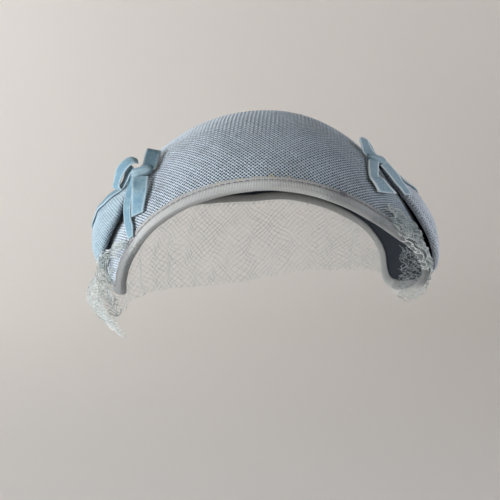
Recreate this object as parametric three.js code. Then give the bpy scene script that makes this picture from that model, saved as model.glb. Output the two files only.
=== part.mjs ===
// A half hat: a stiffened cloth crown that sits over the head from side to side, a draped front
// layer that puffs out at the sides, ribbon bindings, a velvet band with two bows, and a net veil.
// Millimetres, +Z up, the front of the hat looks along -Y, the wearer's left is +X, and the
// origin is where the top of the head meets the inside of the crown.
import * as THREE from "three";

// ---- driving dimensions -------------------------------------------------------------------
const AXIS_Z = -96.5; // height of the fore-and-aft axis that the arches fan out from
const REACH_BACK = 95; // how far the dome would reach behind that axis's middle
const REACH_FRONT = 93; // and how far in front of it
const CROWN_WALL = 2;
const GAP = 0.35; // running gap between neighbouring pieces
const CLOTH_GAP = 0.45; // between the crown and what lies on its curve
const RIM_GAP = 0.8; // and between the cloth's edge and the fold of a binding
const DRAPE_WALL = 1.3;
const CREST_SHARE = 0.55; // how far down the draped layer its crest lies
const BINDING_WIDTH = 6.7; // how far the binding covers the outside of the cloth
const BINDING_INSIDE = 5; // and the inside
const BINDING_THICK = 1.1;
const RIBBON_WIDTH = 9;
const RIBBON_THICK = 1;
const FOLD_ROUND = 0.4; // how much the fold of a binding is rounded off, outside
const FOLD_ROUND_INSIDE = 0.1; // and inside
const VEIL_WALL = 1.2;
const VEIL_END_THICK = 2.4; // the gathered net at the lower back corners, at its thickest
const VEIL_END_RIM = 0.8; // and at its edge
const VEIL_TUCK = 5; // how far up from the front edge the veil is sewn on
const VEIL_TUCK_LIFT = 2.8; // and how far off the crown it lies there
const VEIL_TURN_OUT = 0.8; // it turns over the front edge this far out
const VEIL_TURN_LIFT = 3.2; // and this far up

// One row for each arch of the dome. alpha turns about the fore-and-aft axis from straight up
// towards the wearer's left; radius is the arch's own at its widest; back and front are where
// the cloth ends behind and in front, along Y.
const ARCHES = [
  { alpha: -96.4, radius: 82.5, back: -18.5, front: -28.5 },
  { alpha: -95.6, radius: 83, back: -13, front: -33 },
  { alpha: -94, radius: 84, back: -3, front: -37 },
  { alpha: -90, radius: 87, back: 18, front: -43 },
  { alpha: -85, radius: 90, back: 30, front: -47 },
  { alpha: -80, radius: 91.5, back: 36.5, front: -51 },
  { alpha: -72, radius: 91.6, back: 45.5, front: -57 },
  { alpha: -64, radius: 91, back: 54.5, front: -64 },
  { alpha: -50, radius: 91, back: 63, front: -73.5 },
  { alpha: -31, radius: 95.3, back: 70, front: -81.5 },
  { alpha: -14, radius: 98.2, back: 72, front: -85 },
  { alpha: 3, radius: 98.5, back: 70.8, front: -85.5 },
  { alpha: 18, radius: 97.8, back: 68, front: -84.5 },
  { alpha: 31, radius: 96.5, back: 63.5, front: -82 },
  { alpha: 47, radius: 94.8, back: 55.5, front: -75 },
  { alpha: 59, radius: 93.2, back: 48, front: -65 },
  { alpha: 67, radius: 91.7, back: 43, front: -58 },
  { alpha: 75, radius: 89.6, back: 37, front: -48.5 },
  { alpha: 80, radius: 88, back: 33, front: -33.5 },
  { alpha: 83.6, radius: 86, back: 29, front: -5 },
  { alpha: 85.1, radius: 85.1, back: 25.6, front: 7 },
  { alpha: 85.9, radius: 84.6, back: 20.5, front: 14 },
];

// The draped layer, one row for each place from the left bow round the front to the right bow:
// where its upper edge lies, where its free edge lies, how far the cloth stands off the crown at
// that edge and at its crest, and what share of the way down the velvet band crosses it.
const DRAPE = [
  { topAlpha: 40, topY: -9, edgeAlpha: 40.5, edgeY: 13, edgeLift: 1.8, crest: 1.8, band: 0.9 },
  { topAlpha: 46, topY: -11, edgeAlpha: 46, edgeY: 15, edgeLift: 2.6, crest: 2.6, band: 0.74 },
  { topAlpha: 51, topY: -14, edgeAlpha: 51.5, edgeY: 19, edgeLift: 4, crest: 4.6, band: 0.57 },
  { topAlpha: 55.5, topY: -19, edgeAlpha: 58, edgeY: 24, edgeLift: 5.4, crest: 7.6, band: 0.46 },
  { topAlpha: 59, topY: -26, edgeAlpha: 64, edgeY: 24.5, edgeLift: 5.8, crest: 9.5, band: 0.4 },
  { topAlpha: 61.5, topY: -34, edgeAlpha: 71, edgeY: 21.5, edgeLift: 5.8, crest: 9.7, band: 0.42 },
  { topAlpha: 62, topY: -42, edgeAlpha: 78.5, edgeY: 8, edgeLift: 5, crest: 8.6, band: 0.3 },
  { topAlpha: 60, topY: -49, edgeAlpha: 76.4, edgeY: -24, edgeLift: 2.6, crest: 4.6, band: 0.2 },
  { topAlpha: 55.5, topY: -55, edgeAlpha: 68, edgeY: -48, edgeLift: 1.8, crest: 2.4, band: 0.1 },
  { topAlpha: 48, topY: -60.5, edgeAlpha: 57, edgeY: -57.5, edgeLift: 1.8, crest: 1.9, band: 0.05 },
  { topAlpha: 35.5, topY: -69, edgeAlpha: 40.5, edgeY: -72, edgeLift: 1.8, crest: 1.9, band: 0 },
  { topAlpha: 18, topY: -73.5, edgeAlpha: 20, edgeY: -80, edgeLift: 1.8, crest: 1.9, band: 0 },
  { topAlpha: 0, topY: -75, edgeAlpha: 0, edgeY: -81.5, edgeLift: 1.8, crest: 1.9, band: 0 },
  { topAlpha: -18, topY: -73.5, edgeAlpha: -20, edgeY: -79.8, edgeLift: 1.8, crest: 1.9, band: 0 },
  { topAlpha: -35.5, topY: -69, edgeAlpha: -40.5, edgeY: -71.5, edgeLift: 1.8, crest: 1.9, band: 0 },
  { topAlpha: -48.5, topY: -61.5, edgeAlpha: -58, edgeY: -59, edgeLift: 1.8, crest: 1.9, band: 0.05 },
  { topAlpha: -57, topY: -54.5, edgeAlpha: -71, edgeY: -50, edgeLift: 1.8, crest: 2.4, band: 0.1 },
  { topAlpha: -62, topY: -48, edgeAlpha: -83.5, edgeY: -37, edgeLift: 1.8, crest: 3.2, band: 0.2 },
  { topAlpha: -64, topY: -40, edgeAlpha: -89, edgeY: -12, edgeLift: 2.2, crest: 4.2, band: 0.3 },
  { topAlpha: -63, topY: -31, edgeAlpha: -86.5, edgeY: 12, edgeLift: 3, crest: 6.6, band: 0.34 },
  { topAlpha: -60.5, topY: -23, edgeAlpha: -79.5, edgeY: 24, edgeLift: 4, crest: 9, band: 0.34 },
  { topAlpha: -57, topY: -16, edgeAlpha: -71, edgeY: 28.5, edgeLift: 4.2, crest: 9.4, band: 0.36 },
  { topAlpha: -52, topY: -10, edgeAlpha: -62, edgeY: 30, edgeLift: 3.8, crest: 7.4, band: 0.44 },
  { topAlpha: -47, topY: -6, edgeAlpha: -52, edgeY: 29, edgeLift: 3, crest: 4, band: 0.6 },
  { topAlpha: -41, topY: -2, edgeAlpha: -42, edgeY: 26, edgeLift: 1.8, crest: 1.8, band: 0.8 },
];

// The veil, one row for each share of the way along the front edge from the left corner to the
// right one: how far it stands out from the edge and hangs below it, half way and at its hem.
const VEIL = [
  { share: 0, midOut: 13, midDrop: 7, hemOut: 0, hemDrop: 24 },
  { share: 0.08, midOut: 17, midDrop: 9, hemOut: 2, hemDrop: 28 },
  { share: 0.25, midOut: 16, midDrop: 20, hemOut: 8, hemDrop: 42 },
  { share: 0.5, midOut: 13, midDrop: 27, hemOut: 14, hemDrop: 54 },
  { share: 0.75, midOut: 14, midDrop: 19, hemOut: 8, hemDrop: 38 },
  { share: 0.92, midOut: 19, midDrop: 5, hemOut: 10, hemDrop: 15 },
  { share: 1, midOut: 22, midDrop: -1, hemOut: 15, hemDrop: 8 },
];

// Where the gathered ends of the veil lie on the back panel: the arches they run between, and
// how far from the back edge they start and stop.
const VEIL_ENDS = {
  left_veil_end: { from: 67.5, to: 84, near: 7.8, far: 17 },
  right_veil_end: { from: -58, to: -90, near: 7.8, far: 17 },
};

// Middle lines of the ribbons of the two bows. A tail lies flat on what is under it; a loop's
// width keeps to its own direction, given as across.
const RIBBONS = {
  left_bow_upper_loop: {
    across: [0.35, 0.75, 0.45],
    path: [
      { alpha: 41.2, y: 15.5, lift: 8 },
      { alpha: 39.4, y: 15, lift: 9.8 },
      { alpha: 37.2, y: 15.4, lift: 10 },
      { alpha: 35.8, y: 17, lift: 8 },
      { alpha: 36.2, y: 19, lift: 5.6 },
      { alpha: 38, y: 19.4, lift: 4.8 },
    ],
  },
  left_bow_side_loop: {
    across: [-0.1, 0.8, 0.6],
    path: [
      { alpha: 42.6, y: 13.8, lift: 9.6 },
      { alpha: 43.6, y: 13.8, lift: 12 },
      { alpha: 46.4, y: 14, lift: 13.2 },
      { alpha: 49.2, y: 15, lift: 12.2 },
      { alpha: 50.4, y: 15.6, lift: 9.8 },
      { alpha: 48.8, y: 15.4, lift: 8 },
      { alpha: 46.2, y: 15, lift: 7.2 },
    ],
  },
  left_bow_short_tail: {
    path: [
      { alpha: 43.6, y: 26, lift: 5.2 },
      { alpha: 46.8, y: 30.8, lift: 5 },
      { alpha: 51, y: 35.4, lift: 4.2 },
      { alpha: 53, y: 37.4, lift: 4.2 },
    ],
  },
  left_bow_long_tail: {
    path: [
      { alpha: 47.6, y: 20.6, lift: 4.7 },
      { alpha: 50.2, y: 23.6, lift: 3.3 },
      { alpha: 54, y: 28.4, lift: 1.9 },
      { alpha: 57.8, y: 33.6, lift: 1.6 },
      { alpha: 60.8, y: 37.6, lift: 1.8 },
    ],
  },
  right_bow_upper_loop: {
    across: [-0.5, 0.7, 0.5],
    path: [
      { alpha: -37.2, y: 20, lift: 4.2 },
      { alpha: -34.6, y: 20.2, lift: 4.2 },
      { alpha: -32.8, y: 20, lift: 4.6 },
      { alpha: -32.8, y: 18.6, lift: 6.8 },
      { alpha: -34.6, y: 17.2, lift: 7.8 },
      { alpha: -37, y: 17.4, lift: 7.4 },
    ],
  },
  right_bow_folded_tail: {
    path: [
      { alpha: -38.6, y: 33, lift: 2.4 },
      { alpha: -38, y: 38, lift: 1.6 },
      { alpha: -38.4, y: 43, lift: 1.2 },
      { alpha: -41.4, y: 45, lift: 1.1 },
      { alpha: -45.6, y: 42.6, lift: 1.1 },
      { alpha: -49.6, y: 38.6, lift: 1.1 },
    ],
  },
  right_bow_long_tail: {
    path: [
      { alpha: -44.6, y: 26, lift: 4.8 },
      { alpha: -47, y: 26.4, lift: 4.9 },
      { alpha: -50.6, y: 26.4, lift: 5.4 },
      { alpha: -54.8, y: 26.6, lift: 6 },
    ],
  },
};

// The knots the ribbons come out of: the middle of each, and half its length and width.
const KNOTS = {
  left_bow_knot: { alpha: 41.6, y: 20.4, lift: 5.8, long: 3.6, wide: 5.4, high: 2.6 },
  right_bow_knot: { alpha: -39.4, y: 26.5, lift: 3.1, long: 4, wide: 5, high: 2.3 },
};

// ---- curves through a table ---------------------------------------------------------------
// A smooth curve through one column of a table against another.
function column(rows, along, of) {
  const x = rows.map((row) => row[along]);
  const y = rows.map((row) => row[of]);
  const last = x.length - 1;
  const step = x.slice(1).map((value, i) => value - x[i]);
  const pitch = step.map((value, i) => (y[i + 1] - y[i]) / value);
  const slope = x.map((_, i) => {
    if (i === 0) return pitch[0];
    if (i === last) return pitch[last - 1];
    return (step[i] * pitch[i - 1] + step[i - 1] * pitch[i]) / (step[i] + step[i - 1]);
  });
  return (at) => {
    let i = 0;
    while (i < last - 1 && at > x[i + 1]) i += 1;
    const t = Math.min(Math.max((at - x[i]) / step[i], -0.5), 1.5);
    const rise = t * t * (3 - 2 * t);
    const swing = step[i] * t * (1 - t);
    return y[i] + (y[i + 1] - y[i]) * rise + swing * (slope[i] * (1 - t) - slope[i + 1] * t);
  };
}

// All the named columns of a table at once, against the row number or a named column.
function blend(rows, names, along) {
  const keyed = rows.map((row, i) => ({ ...row, row: i }));
  const curves = names.map((name) => column(keyed, along ?? "row", name));
  return (at) => Object.fromEntries(names.map((name, i) => [name, curves[i](at)]));
}

// ---- the dome -----------------------------------------------------------------------------
const archRadius = column(ARCHES, "alpha", "radius");
const backEdge = column(ARCHES, "alpha", "back");
const frontEdge = column(ARCHES, "alpha", "front");

// The place on the dome at an arch angle and a distance along Y, raised by lift.
function lay(alpha, y, lift) {
  const reach = y > 0 ? REACH_BACK : REACH_FRONT;
  const full = archRadius(alpha);
  const radius = full * Math.sqrt(Math.max(1 - (y / reach) ** 2, 0));
  const turn = THREE.MathUtils.degToRad(alpha);
  const side = (Math.sin(turn) * radius) / full ** 2;
  const up = (Math.cos(turn) * radius) / full ** 2;
  const normal = new THREE.Vector3(side, y / reach ** 2, up).normalize();
  const place = new THREE.Vector3(radius * Math.sin(turn), y, AXIS_Z + radius * Math.cos(turn));
  return { place: place.addScaledVector(normal, lift), normal };
}

// Steps from a place on the dome, in millimetres square to a direction along it.
function stepAside(alpha, y, alongAlpha, alongY, distance) {
  const small = 0.01;
  const perAlpha = lay(alpha + small, y, 0).place.sub(lay(alpha - small, y, 0).place);
  const perY = lay(alpha, y + small, 0).place.sub(lay(alpha, y - small, 0).place);
  perAlpha.divideScalar(2 * small);
  perY.divideScalar(2 * small);
  const e = perAlpha.dot(perAlpha);
  const f = perAlpha.dot(perY);
  const g = perY.dot(perY);
  const asideAlpha = -(f * alongAlpha + g * alongY);
  const asideY = e * alongAlpha + f * alongY;
  const size = Math.sqrt(
    e * asideAlpha ** 2 + 2 * f * asideAlpha * asideY + g * asideY ** 2,
  );
  return {
    alpha: alpha + (asideAlpha / size) * distance,
    y: y + (asideY / size) * distance,
  };
}

// ---- solids from rings --------------------------------------------------------------------
// A closed solid through rings that each have the same even number of points.
function loft(name, surface, rings) {
  const around = rings[0].length;
  const position = rings.flat().flatMap((point) => [point.x, point.y, point.z]);
  const faces = [];
  const add = (a, b, c) => {
    if (a !== b && b !== c && c !== a) faces.push(a, b, c);
  };
  for (let i = 0; i < rings.length - 1; i += 1) {
    for (let j = 0; j < around; j += 1) {
      const a = i * around + j;
      const b = i * around + ((j + 1) % around);
      add(a, b, b + around);
      add(a, b + around, a + around);
    }
  }
  const end = (rings.length - 1) * around;
  for (let j = 0; j < around / 2 - 1; j += 1) {
    const far = around - 1 - j;
    add(j, far, far - 1);
    add(j, far - 1, j + 1);
    add(end + j, end + far - 1, end + far);
    add(end + j, end + j + 1, end + far - 1);
  }
  const geometry = new THREE.BufferGeometry();
  geometry.setAttribute("position", new THREE.Float32BufferAttribute(position, 3));
  geometry.setIndex(faces);
  if (volume(position, faces) < 0) geometry.setIndex(faces.reverse());
  geometry.computeVertexNormals();
  return named(name, surface, geometry);
}

function named(name, surface, geometry) {
  const mesh = new THREE.Mesh(geometry, new THREE.MeshStandardMaterial(surface));
  mesh.name = name;
  return mesh;
}

function volume(position, faces) {
  const corner = (i) => new THREE.Vector3().fromArray(position, 3 * faces[i]);
  let sum = 0;
  for (let i = 0; i < faces.length; i += 3) {
    sum += corner(i).dot(corner(i + 1).cross(corner(i + 2)));
  }
  return sum;
}

const spread = (count, from, to) =>
  Array.from({ length: count }, (_, i) => from + ((to - from) * i) / (count - 1));

const finish = (color, roughness) => ({ color, roughness, metalness: 0 });
const CLOTH = finish(0x9fb6c4, 0.75);
const RIBBED = finish(0xa9acaa, 0.7);
const VELVET = finish(0x84a5b4, 0.9);
const NET = finish(0xa9aca9, 0.85);

// ---- crown --------------------------------------------------------------------------------
const CROWN_ENDS = [0, 0.35, 0.7, 1.3, 2, 3, 4.2, 5.8, 8]; // degrees in from each corner
const CROWN_MIDDLE = 11.5; // even steps start this many degrees in
const CROWN_STEPS = 25;
const CROWN_ACROSS = 15;

function crown() {
  const first = ARCHES[0].alpha;
  const last = ARCHES[ARCHES.length - 1].alpha;
  const stations = [
    ...CROWN_ENDS.map((inward) => first + inward),
    ...spread(CROWN_STEPS, first + CROWN_MIDDLE, last - CROWN_MIDDLE),
    ...CROWN_ENDS.map((inward) => last - inward).reverse(),
  ];
  const rings = stations.map((alpha) => {
    const rear = Math.asin(backEdge(alpha) / REACH_BACK);
    const front = Math.asin(frontEdge(alpha) / REACH_FRONT);
    const ys = spread(CROWN_ACROSS, rear, front).map(
      (turn) => Math.sin(turn) * (turn > 0 ? REACH_BACK : REACH_FRONT),
    );
    const outer = ys.map((y) => lay(alpha, y, 0).place);
    const inner = ys.map((y) => lay(alpha, y, -CROWN_WALL).place);
    return [...outer, ...inner.reverse()];
  });
  return loft("crown", CLOTH, rings);
}

// ---- bindings -----------------------------------------------------------------------------
const EDGE_SAMPLES = 700;
const EDGE_REACH = 3; // the line's direction is taken this far to either side
const BINDING_STATIONS = 42;

// The line of an edge from the middle of the left corner to the middle of the right one, as
// evenly spaced places with the direction the line runs in.
function edgeLine(edge, count) {
  const rows = [...ARCHES].reverse();
  const left = rows[0];
  const right = rows[rows.length - 1];
  const dense = [{ alpha: left.alpha, y: (left.back + left.front) / 2 }];
  spread(EDGE_SAMPLES, 0, 1).forEach((share) => {
    const near = 0.5 - 0.5 * Math.cos(Math.PI * share);
    const alpha = left.alpha + (right.alpha - left.alpha) * near;
    dense.push({ alpha, y: edge(alpha) });
  });
  dense.push({ alpha: right.alpha, y: (right.back + right.front) / 2 });
  const along = [0];
  for (let i = 1; i < dense.length; i += 1) {
    const from = lay(dense[i - 1].alpha, dense[i - 1].y, 0).place;
    const to = lay(dense[i].alpha, dense[i].y, 0).place;
    along.push(along[i - 1] + from.distanceTo(to));
  }
  const total = along[along.length - 1];
  const at = (distance) => {
    const want = Math.min(Math.max(distance, 0), total);
    let i = 1;
    while (i < along.length - 1 && along[i] < want) i += 1;
    const t = (want - along[i - 1]) / (along[i] - along[i - 1]);
    const a = dense[i - 1];
    const b = dense[i];
    return { alpha: a.alpha + (b.alpha - a.alpha) * t, y: a.y + (b.y - a.y) * t };
  };
  const margin = GAP / 2;
  return spread(count, margin, total - margin).map((distance) => {
    const before = at(distance - EDGE_REACH);
    const after = at(distance + EDGE_REACH);
    const alongAlpha = after.alpha - before.alpha;
    const alongY = after.y - before.y;
    return { ...at(distance), alongAlpha, alongY, share: distance / total };
  });
}

// A place near an edge: inward is how far it lies from the edge towards the middle.
function nearEdge(station, side, inward, lift) {
  const { alpha, y, alongAlpha, alongY } = station;
  const to = stepAside(alpha, y, alongAlpha, alongY, side * inward);
  return lay(to.alpha, to.y, lift).place;
}

function binding(name, edge, side) {
  const over = CLOTH_GAP + BINDING_THICK;
  const under = -CROWN_WALL - RIM_GAP;
  const section = [
    [BINDING_WIDTH, over],
    [0, over],
    [-RIM_GAP - BINDING_THICK, GAP - FOLD_ROUND],
    [-RIM_GAP - BINDING_THICK, under + FOLD_ROUND],
    [0, under - BINDING_THICK],
    [BINDING_INSIDE, under - BINDING_THICK],
    [BINDING_INSIDE, under],
    [0, under],
    [-RIM_GAP, under + FOLD_ROUND_INSIDE],
    [-RIM_GAP, CLOTH_GAP - FOLD_ROUND_INSIDE],
    [0, CLOTH_GAP],
    [BINDING_WIDTH, CLOTH_GAP],
  ];
  const rings = edgeLine(edge, BINDING_STATIONS).map((station) =>
    section.map(([inward, lift]) => nearEdge(station, side, inward, lift)),
  );
  return loft(name, RIBBED, rings);
}

// ---- the draped layer and its band --------------------------------------------------------
const DRAPE_ROUND = 43; // stations round the draped layer and the band
const DRAPE_DOWN = 9; // and points from its upper edge to its free edge
const DRAPE_TURNS = 8; // enough turns of Newton's method to land within a micrometre
const BAND_END = 0.3; // the band stops this share of a row before the first and last row
const BAND_REACH = 0.2; // its direction is taken this share of a row to either side
const BAND_ACROSS = [-1, -0.5, 0, 0.5, 1];

const drapeRow = blend(DRAPE, [
  "topAlpha",
  "topY",
  "edgeAlpha",
  "edgeY",
  "edgeLift",
  "crest",
  "band",
]);

// How far the outer face of the draped layer stands off the crown, a share of the way down.
function drapeLift(at, share) {
  const base = DRAPE_WALL + CLOTH_GAP;
  const climb = Math.min(Math.max(share / CREST_SHARE, 0), 1);
  const rise = Math.sin((Math.PI / 2) * climb) ** 2;
  const fall = Math.max((share - CREST_SHARE) / (1 - CREST_SHARE), 0) ** 2;
  return Math.max(base + (at.crest - base) * rise + (at.edgeLift - at.crest) * fall, base);
}

// The place on the draped layer that lies over a place on the dome.
function drapeAt(alpha, y, start) {
  let { row, share } = start;
  const last = DRAPE.length - 1;
  const small = 0.01;
  const miss = (atRow, atShare) => {
    const at = drapeRow(Math.min(Math.max(atRow, 0), last));
    return [
      at.topAlpha + (at.edgeAlpha - at.topAlpha) * atShare - alpha,
      at.topY + (at.edgeY - at.topY) * atShare - y,
    ];
  };
  for (let turn = 0; turn < DRAPE_TURNS; turn += 1) {
    const [a, b] = miss(row, share);
    const [aRow, bRow] = miss(row + small, share).map((v, i) => (v - [a, b][i]) / small);
    const [aShare, bShare] = miss(row, share + small).map((v, i) => (v - [a, b][i]) / small);
    const area = aRow * bShare - aShare * bRow;
    row -= (a * bShare - b * aShare) / area;
    share -= (b * aRow - a * bRow) / area;
    row = Math.min(Math.max(row, 0), last - small);
  }
  return drapeLift(drapeRow(row), share);
}

function drape() {
  const rings = spread(DRAPE_ROUND, 0, DRAPE.length - 1).map((row) => {
    const at = drapeRow(row);
    const outer = spread(DRAPE_DOWN, 0, 1).map((share) => {
      const alpha = at.topAlpha + (at.edgeAlpha - at.topAlpha) * share;
      return { alpha, y: at.topY + (at.edgeY - at.topY) * share, lift: drapeLift(at, share) };
    });
    const top = outer.map(({ alpha, y, lift }) => lay(alpha, y, lift).place);
    const inner = outer.map(({ alpha, y, lift }) => lay(alpha, y, lift - DRAPE_WALL).place);
    return [...top, ...inner.reverse()];
  });
  return loft("front_drape", CLOTH, rings);
}

// The band follows the draped layer's outer face, and where it passes that layer's upper edge
// it carries on level over the crown.
function velvetBand() {
  const last = DRAPE.length - 1;
  const middle = (row) => {
    const at = drapeRow(Math.min(Math.max(row, 0), last));
    return {
      at,
      alpha: at.topAlpha + (at.edgeAlpha - at.topAlpha) * at.band,
      y: at.topY + (at.edgeY - at.topY) * at.band,
    };
  };
  const rings = spread(DRAPE_ROUND, BAND_END, last - BAND_END).map((row) => {
    const here = middle(row);
    const before = middle(row - BAND_REACH);
    const after = middle(row + BAND_REACH);
    const across = BAND_ACROSS.map((part) => {
      const aside = (part * RIBBON_WIDTH) / 2;
      const alongAlpha = after.alpha - before.alpha;
      const alongY = after.y - before.y;
      const to = stepAside(here.alpha, here.y, alongAlpha, alongY, aside);
      const lift = drapeAt(to.alpha, to.y, { row, share: here.at.band });
      return { ...to, lift: lift + CLOTH_GAP };
    });
    const under = across.map(({ alpha, y, lift }) => lay(alpha, y, lift).place);
    const over = across.map(({ alpha, y, lift }) => lay(alpha, y, lift + RIBBON_THICK).place);
    return [...over, ...under.reverse()];
  });
  return loft("velvet_band", VELVET, rings);
}

// ---- bows ---------------------------------------------------------------------------------
const RIBBON_STEPS = 3; // stations for each row of a ribbon's path
const KNOT_AROUND = 14;
const KNOT_DOWN = 8;

function ribbon(name, { path, across }) {
  const at = blend(path, ["alpha", "y", "lift"]);
  const last = path.length - 1;
  const points = spread(RIBBON_STEPS * last + 1, 0, last).map((row) => {
    const { alpha, y, lift } = at(row);
    return lay(alpha, y, lift);
  });
  const rings = points.map(({ place, normal }, i) => {
    const before = points[Math.max(i - 1, 0)].place;
    const after = points[Math.min(i + 1, points.length - 1)].place;
    const along = after.clone().sub(before).normalize();
    const flat = new THREE.Vector3().crossVectors(normal, along);
    const side = across ? new THREE.Vector3(...across) : flat;
    side.addScaledVector(along, -side.dot(along)).normalize();
    const up = new THREE.Vector3().crossVectors(along, side).multiplyScalar(RIBBON_THICK / 2);
    side.multiplyScalar(RIBBON_WIDTH / 2);
    return [
      place.clone().add(side).add(up),
      place.clone().sub(side).add(up),
      place.clone().sub(side).sub(up),
      place.clone().add(side).sub(up),
    ];
  });
  return loft(name, VELVET, rings);
}

function knot(name, { alpha, y, lift, long, wide, high }) {
  const { place, normal } = lay(alpha, y, lift);
  const forward = lay(alpha, y + 1, lift).place.sub(lay(alpha, y - 1, lift).place).normalize();
  const geometry = new THREE.SphereGeometry(1, KNOT_AROUND, KNOT_DOWN);
  const basis = new THREE.Matrix4().makeBasis(
    forward.clone().multiplyScalar(long),
    normal.clone().multiplyScalar(high),
    new THREE.Vector3().crossVectors(forward, normal).multiplyScalar(wide),
  );
  geometry.applyMatrix4(basis.setPosition(place));
  return named(name, VELVET, geometry);
}

// ---- veil ---------------------------------------------------------------------------------
const VEIL_ROUND = 39;
const VEIL_DOWN = 7;
const VEIL_END_ROUND = 11;
const VEIL_END_ACROSS = 6;
const VEIL_END_BLUNT = 0.8; // how blunt the gathered net's ends are, in stations

function veil() {
  const rowAt = blend(VEIL, ["midOut", "midDrop", "hemOut", "hemDrop"], "share");
  const rings = edgeLine(frontEdge, VEIL_ROUND).map((station) => {
    const { midOut, midDrop, hemOut, hemDrop } = rowAt(station.share);
    const edge = nearEdge(station, 1, 0, 0);
    const out = new THREE.Vector3(edge.x, edge.y, 0).normalize();
    const hang = (aside, drop) =>
      edge.clone().addScaledVector(out, aside).add(new THREE.Vector3(0, 0, -drop));
    const curve = new THREE.CatmullRomCurve3([
      nearEdge(station, 1, VEIL_TUCK, VEIL_TUCK_LIFT),
      nearEdge(station, 1, -VEIL_TURN_OUT, VEIL_TURN_LIFT),
      hang(midOut, midDrop),
      hang(hemOut, hemDrop),
    ]);
    const run = curve.getPoints(VEIL_DOWN);
    const outer = run.map((point, i) => {
      const before = run[Math.max(i - 1, 0)];
      const after = run[Math.min(i + 1, run.length - 1)];
      const along = after.clone().sub(before).normalize();
      const beside = new THREE.Vector3(-out.y, out.x, 0);
      const facing = new THREE.Vector3().crossVectors(beside, along).normalize();
      return [facing, point];
    });
    const half = VEIL_WALL / 2;
    const front = outer.map(([facing, point]) => point.clone().addScaledVector(facing, half));
    const rear = outer.map(([facing, point]) => point.clone().addScaledVector(facing, -half));
    return [...front, ...rear.reverse()];
  });
  return loft("veil", NET, rings);
}

function veilEnd(name, { from, to, near, far }) {
  const stations = spread(VEIL_END_ROUND, from, to);
  const rings = stations.map((alpha, i) => {
    const slope = backEdge(alpha + 0.5) - backEdge(alpha - 0.5);
    const edge = { alpha, y: backEdge(alpha), alongAlpha: -1, alongY: -slope };
    const along = (i + VEIL_END_BLUNT) / (VEIL_END_ROUND - 1 + 2 * VEIL_END_BLUNT);
    const taper = Math.sin(Math.PI * along) ** 0.5;
    const middle = (near + far) / 2;
    const half = ((far - near) / 2) * taper;
    const inwards = spread(VEIL_END_ACROSS, middle - half, middle + half);
    const shape = inwards.map((inward, j) => {
      const puff = Math.sin((Math.PI * (j + 0.5)) / VEIL_END_ACROSS);
      const rise = (VEIL_END_THICK - VEIL_END_RIM) * puff * taper;
      return [inward, GAP + VEIL_END_RIM + rise];
    });
    const outer = shape.map(([inward, lift]) => nearEdge(edge, 1, inward, lift));
    const inner = shape.map(([inward]) => nearEdge(edge, 1, inward, GAP));
    return [...outer, ...inner.reverse()];
  });
  return loft(name, NET, rings);
}

// ---- the hat ------------------------------------------------------------------------------
const hat = new THREE.Group();
hat.name = "half_hat";
hat.add(crown(), drape(), velvetBand(), veil());
hat.add(binding("back_binding", backEdge, 1), binding("front_binding", frontEdge, -1));
Object.entries(KNOTS).forEach(([name, size]) => hat.add(knot(name, size)));
Object.entries(RIBBONS).forEach(([name, shape]) => hat.add(ribbon(name, shape)));
Object.entries(VEIL_ENDS).forEach(([name, extent]) => hat.add(veilEnd(name, extent)));

export default hat;
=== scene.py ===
"""A vintage half hat of pale blue straw cloth, seen from behind in a plain studio.

The hat's CAD model is loaded as a fixed frame. Every soft piece is then modelled over its own
CAD solid: cloth woven from single threads, ribbed ribbon bindings, velvet bows and a net veil.
Shapes are worked out in millimetres and written to the meshes in metres.
"""

import math

import bpy
import numpy as np
from mathutils import Matrix, Vector


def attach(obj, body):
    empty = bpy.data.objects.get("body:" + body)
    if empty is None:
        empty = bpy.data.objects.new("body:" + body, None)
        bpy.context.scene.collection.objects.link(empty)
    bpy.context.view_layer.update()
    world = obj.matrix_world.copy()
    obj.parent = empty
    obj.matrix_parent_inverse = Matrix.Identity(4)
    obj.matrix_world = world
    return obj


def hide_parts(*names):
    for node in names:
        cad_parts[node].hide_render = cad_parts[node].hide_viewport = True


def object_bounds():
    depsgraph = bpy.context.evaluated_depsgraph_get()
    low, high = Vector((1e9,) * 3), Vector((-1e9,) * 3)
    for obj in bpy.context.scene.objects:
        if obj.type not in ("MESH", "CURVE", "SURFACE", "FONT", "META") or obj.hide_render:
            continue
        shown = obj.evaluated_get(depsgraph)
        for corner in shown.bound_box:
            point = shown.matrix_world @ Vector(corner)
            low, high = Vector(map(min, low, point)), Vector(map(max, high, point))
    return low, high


bl_info = {
    "name": "Half hat",
    "version": (1, 0, 0),
    "blender": (4, 5, 0),
    "location": "3D View > Sidebar > Half hat",
    "description": "Models the cloth, ribbons and veil of a half hat over its packed CAD frame",
    "category": "Object",
}

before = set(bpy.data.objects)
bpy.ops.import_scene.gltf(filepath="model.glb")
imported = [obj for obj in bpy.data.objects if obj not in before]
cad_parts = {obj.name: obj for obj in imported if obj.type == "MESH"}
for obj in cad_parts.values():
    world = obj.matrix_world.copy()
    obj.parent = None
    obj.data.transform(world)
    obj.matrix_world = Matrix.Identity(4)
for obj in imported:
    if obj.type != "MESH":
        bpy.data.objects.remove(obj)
CAD_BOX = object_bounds()
MM = 0.001

# ---- the shape of the hat, in millimetres and degrees ---------------------------------------
AXIS_Z = -96.5  # height of the fore-and-aft axis that the arches fan out from
REACH_BACK = 95.0  # where the arches close behind, if they ran on
REACH_FRONT = 93.0
CROWN_WALL = 2.0
CLOTH_GAP = 0.45  # between a piece and the one that it lies on
DRAPE_WALL = 1.3
CREST_SHARE = 0.55  # how far down the draped layer its crest lies
BINDING_WIDTH = 6.7  # outside the hat
BINDING_INSIDE = 5.0
RIBBON_WIDTH = 9.0  # of the velvet
RIBBON_THICK = 0.9
FLAT_TOP = 0.5  # share of a thread's width that is flat on top
RIGHT_BOW_PALING = 0.5  # how much paler the right bow's ribbons are painted than the left's, with whiter edges
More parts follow.
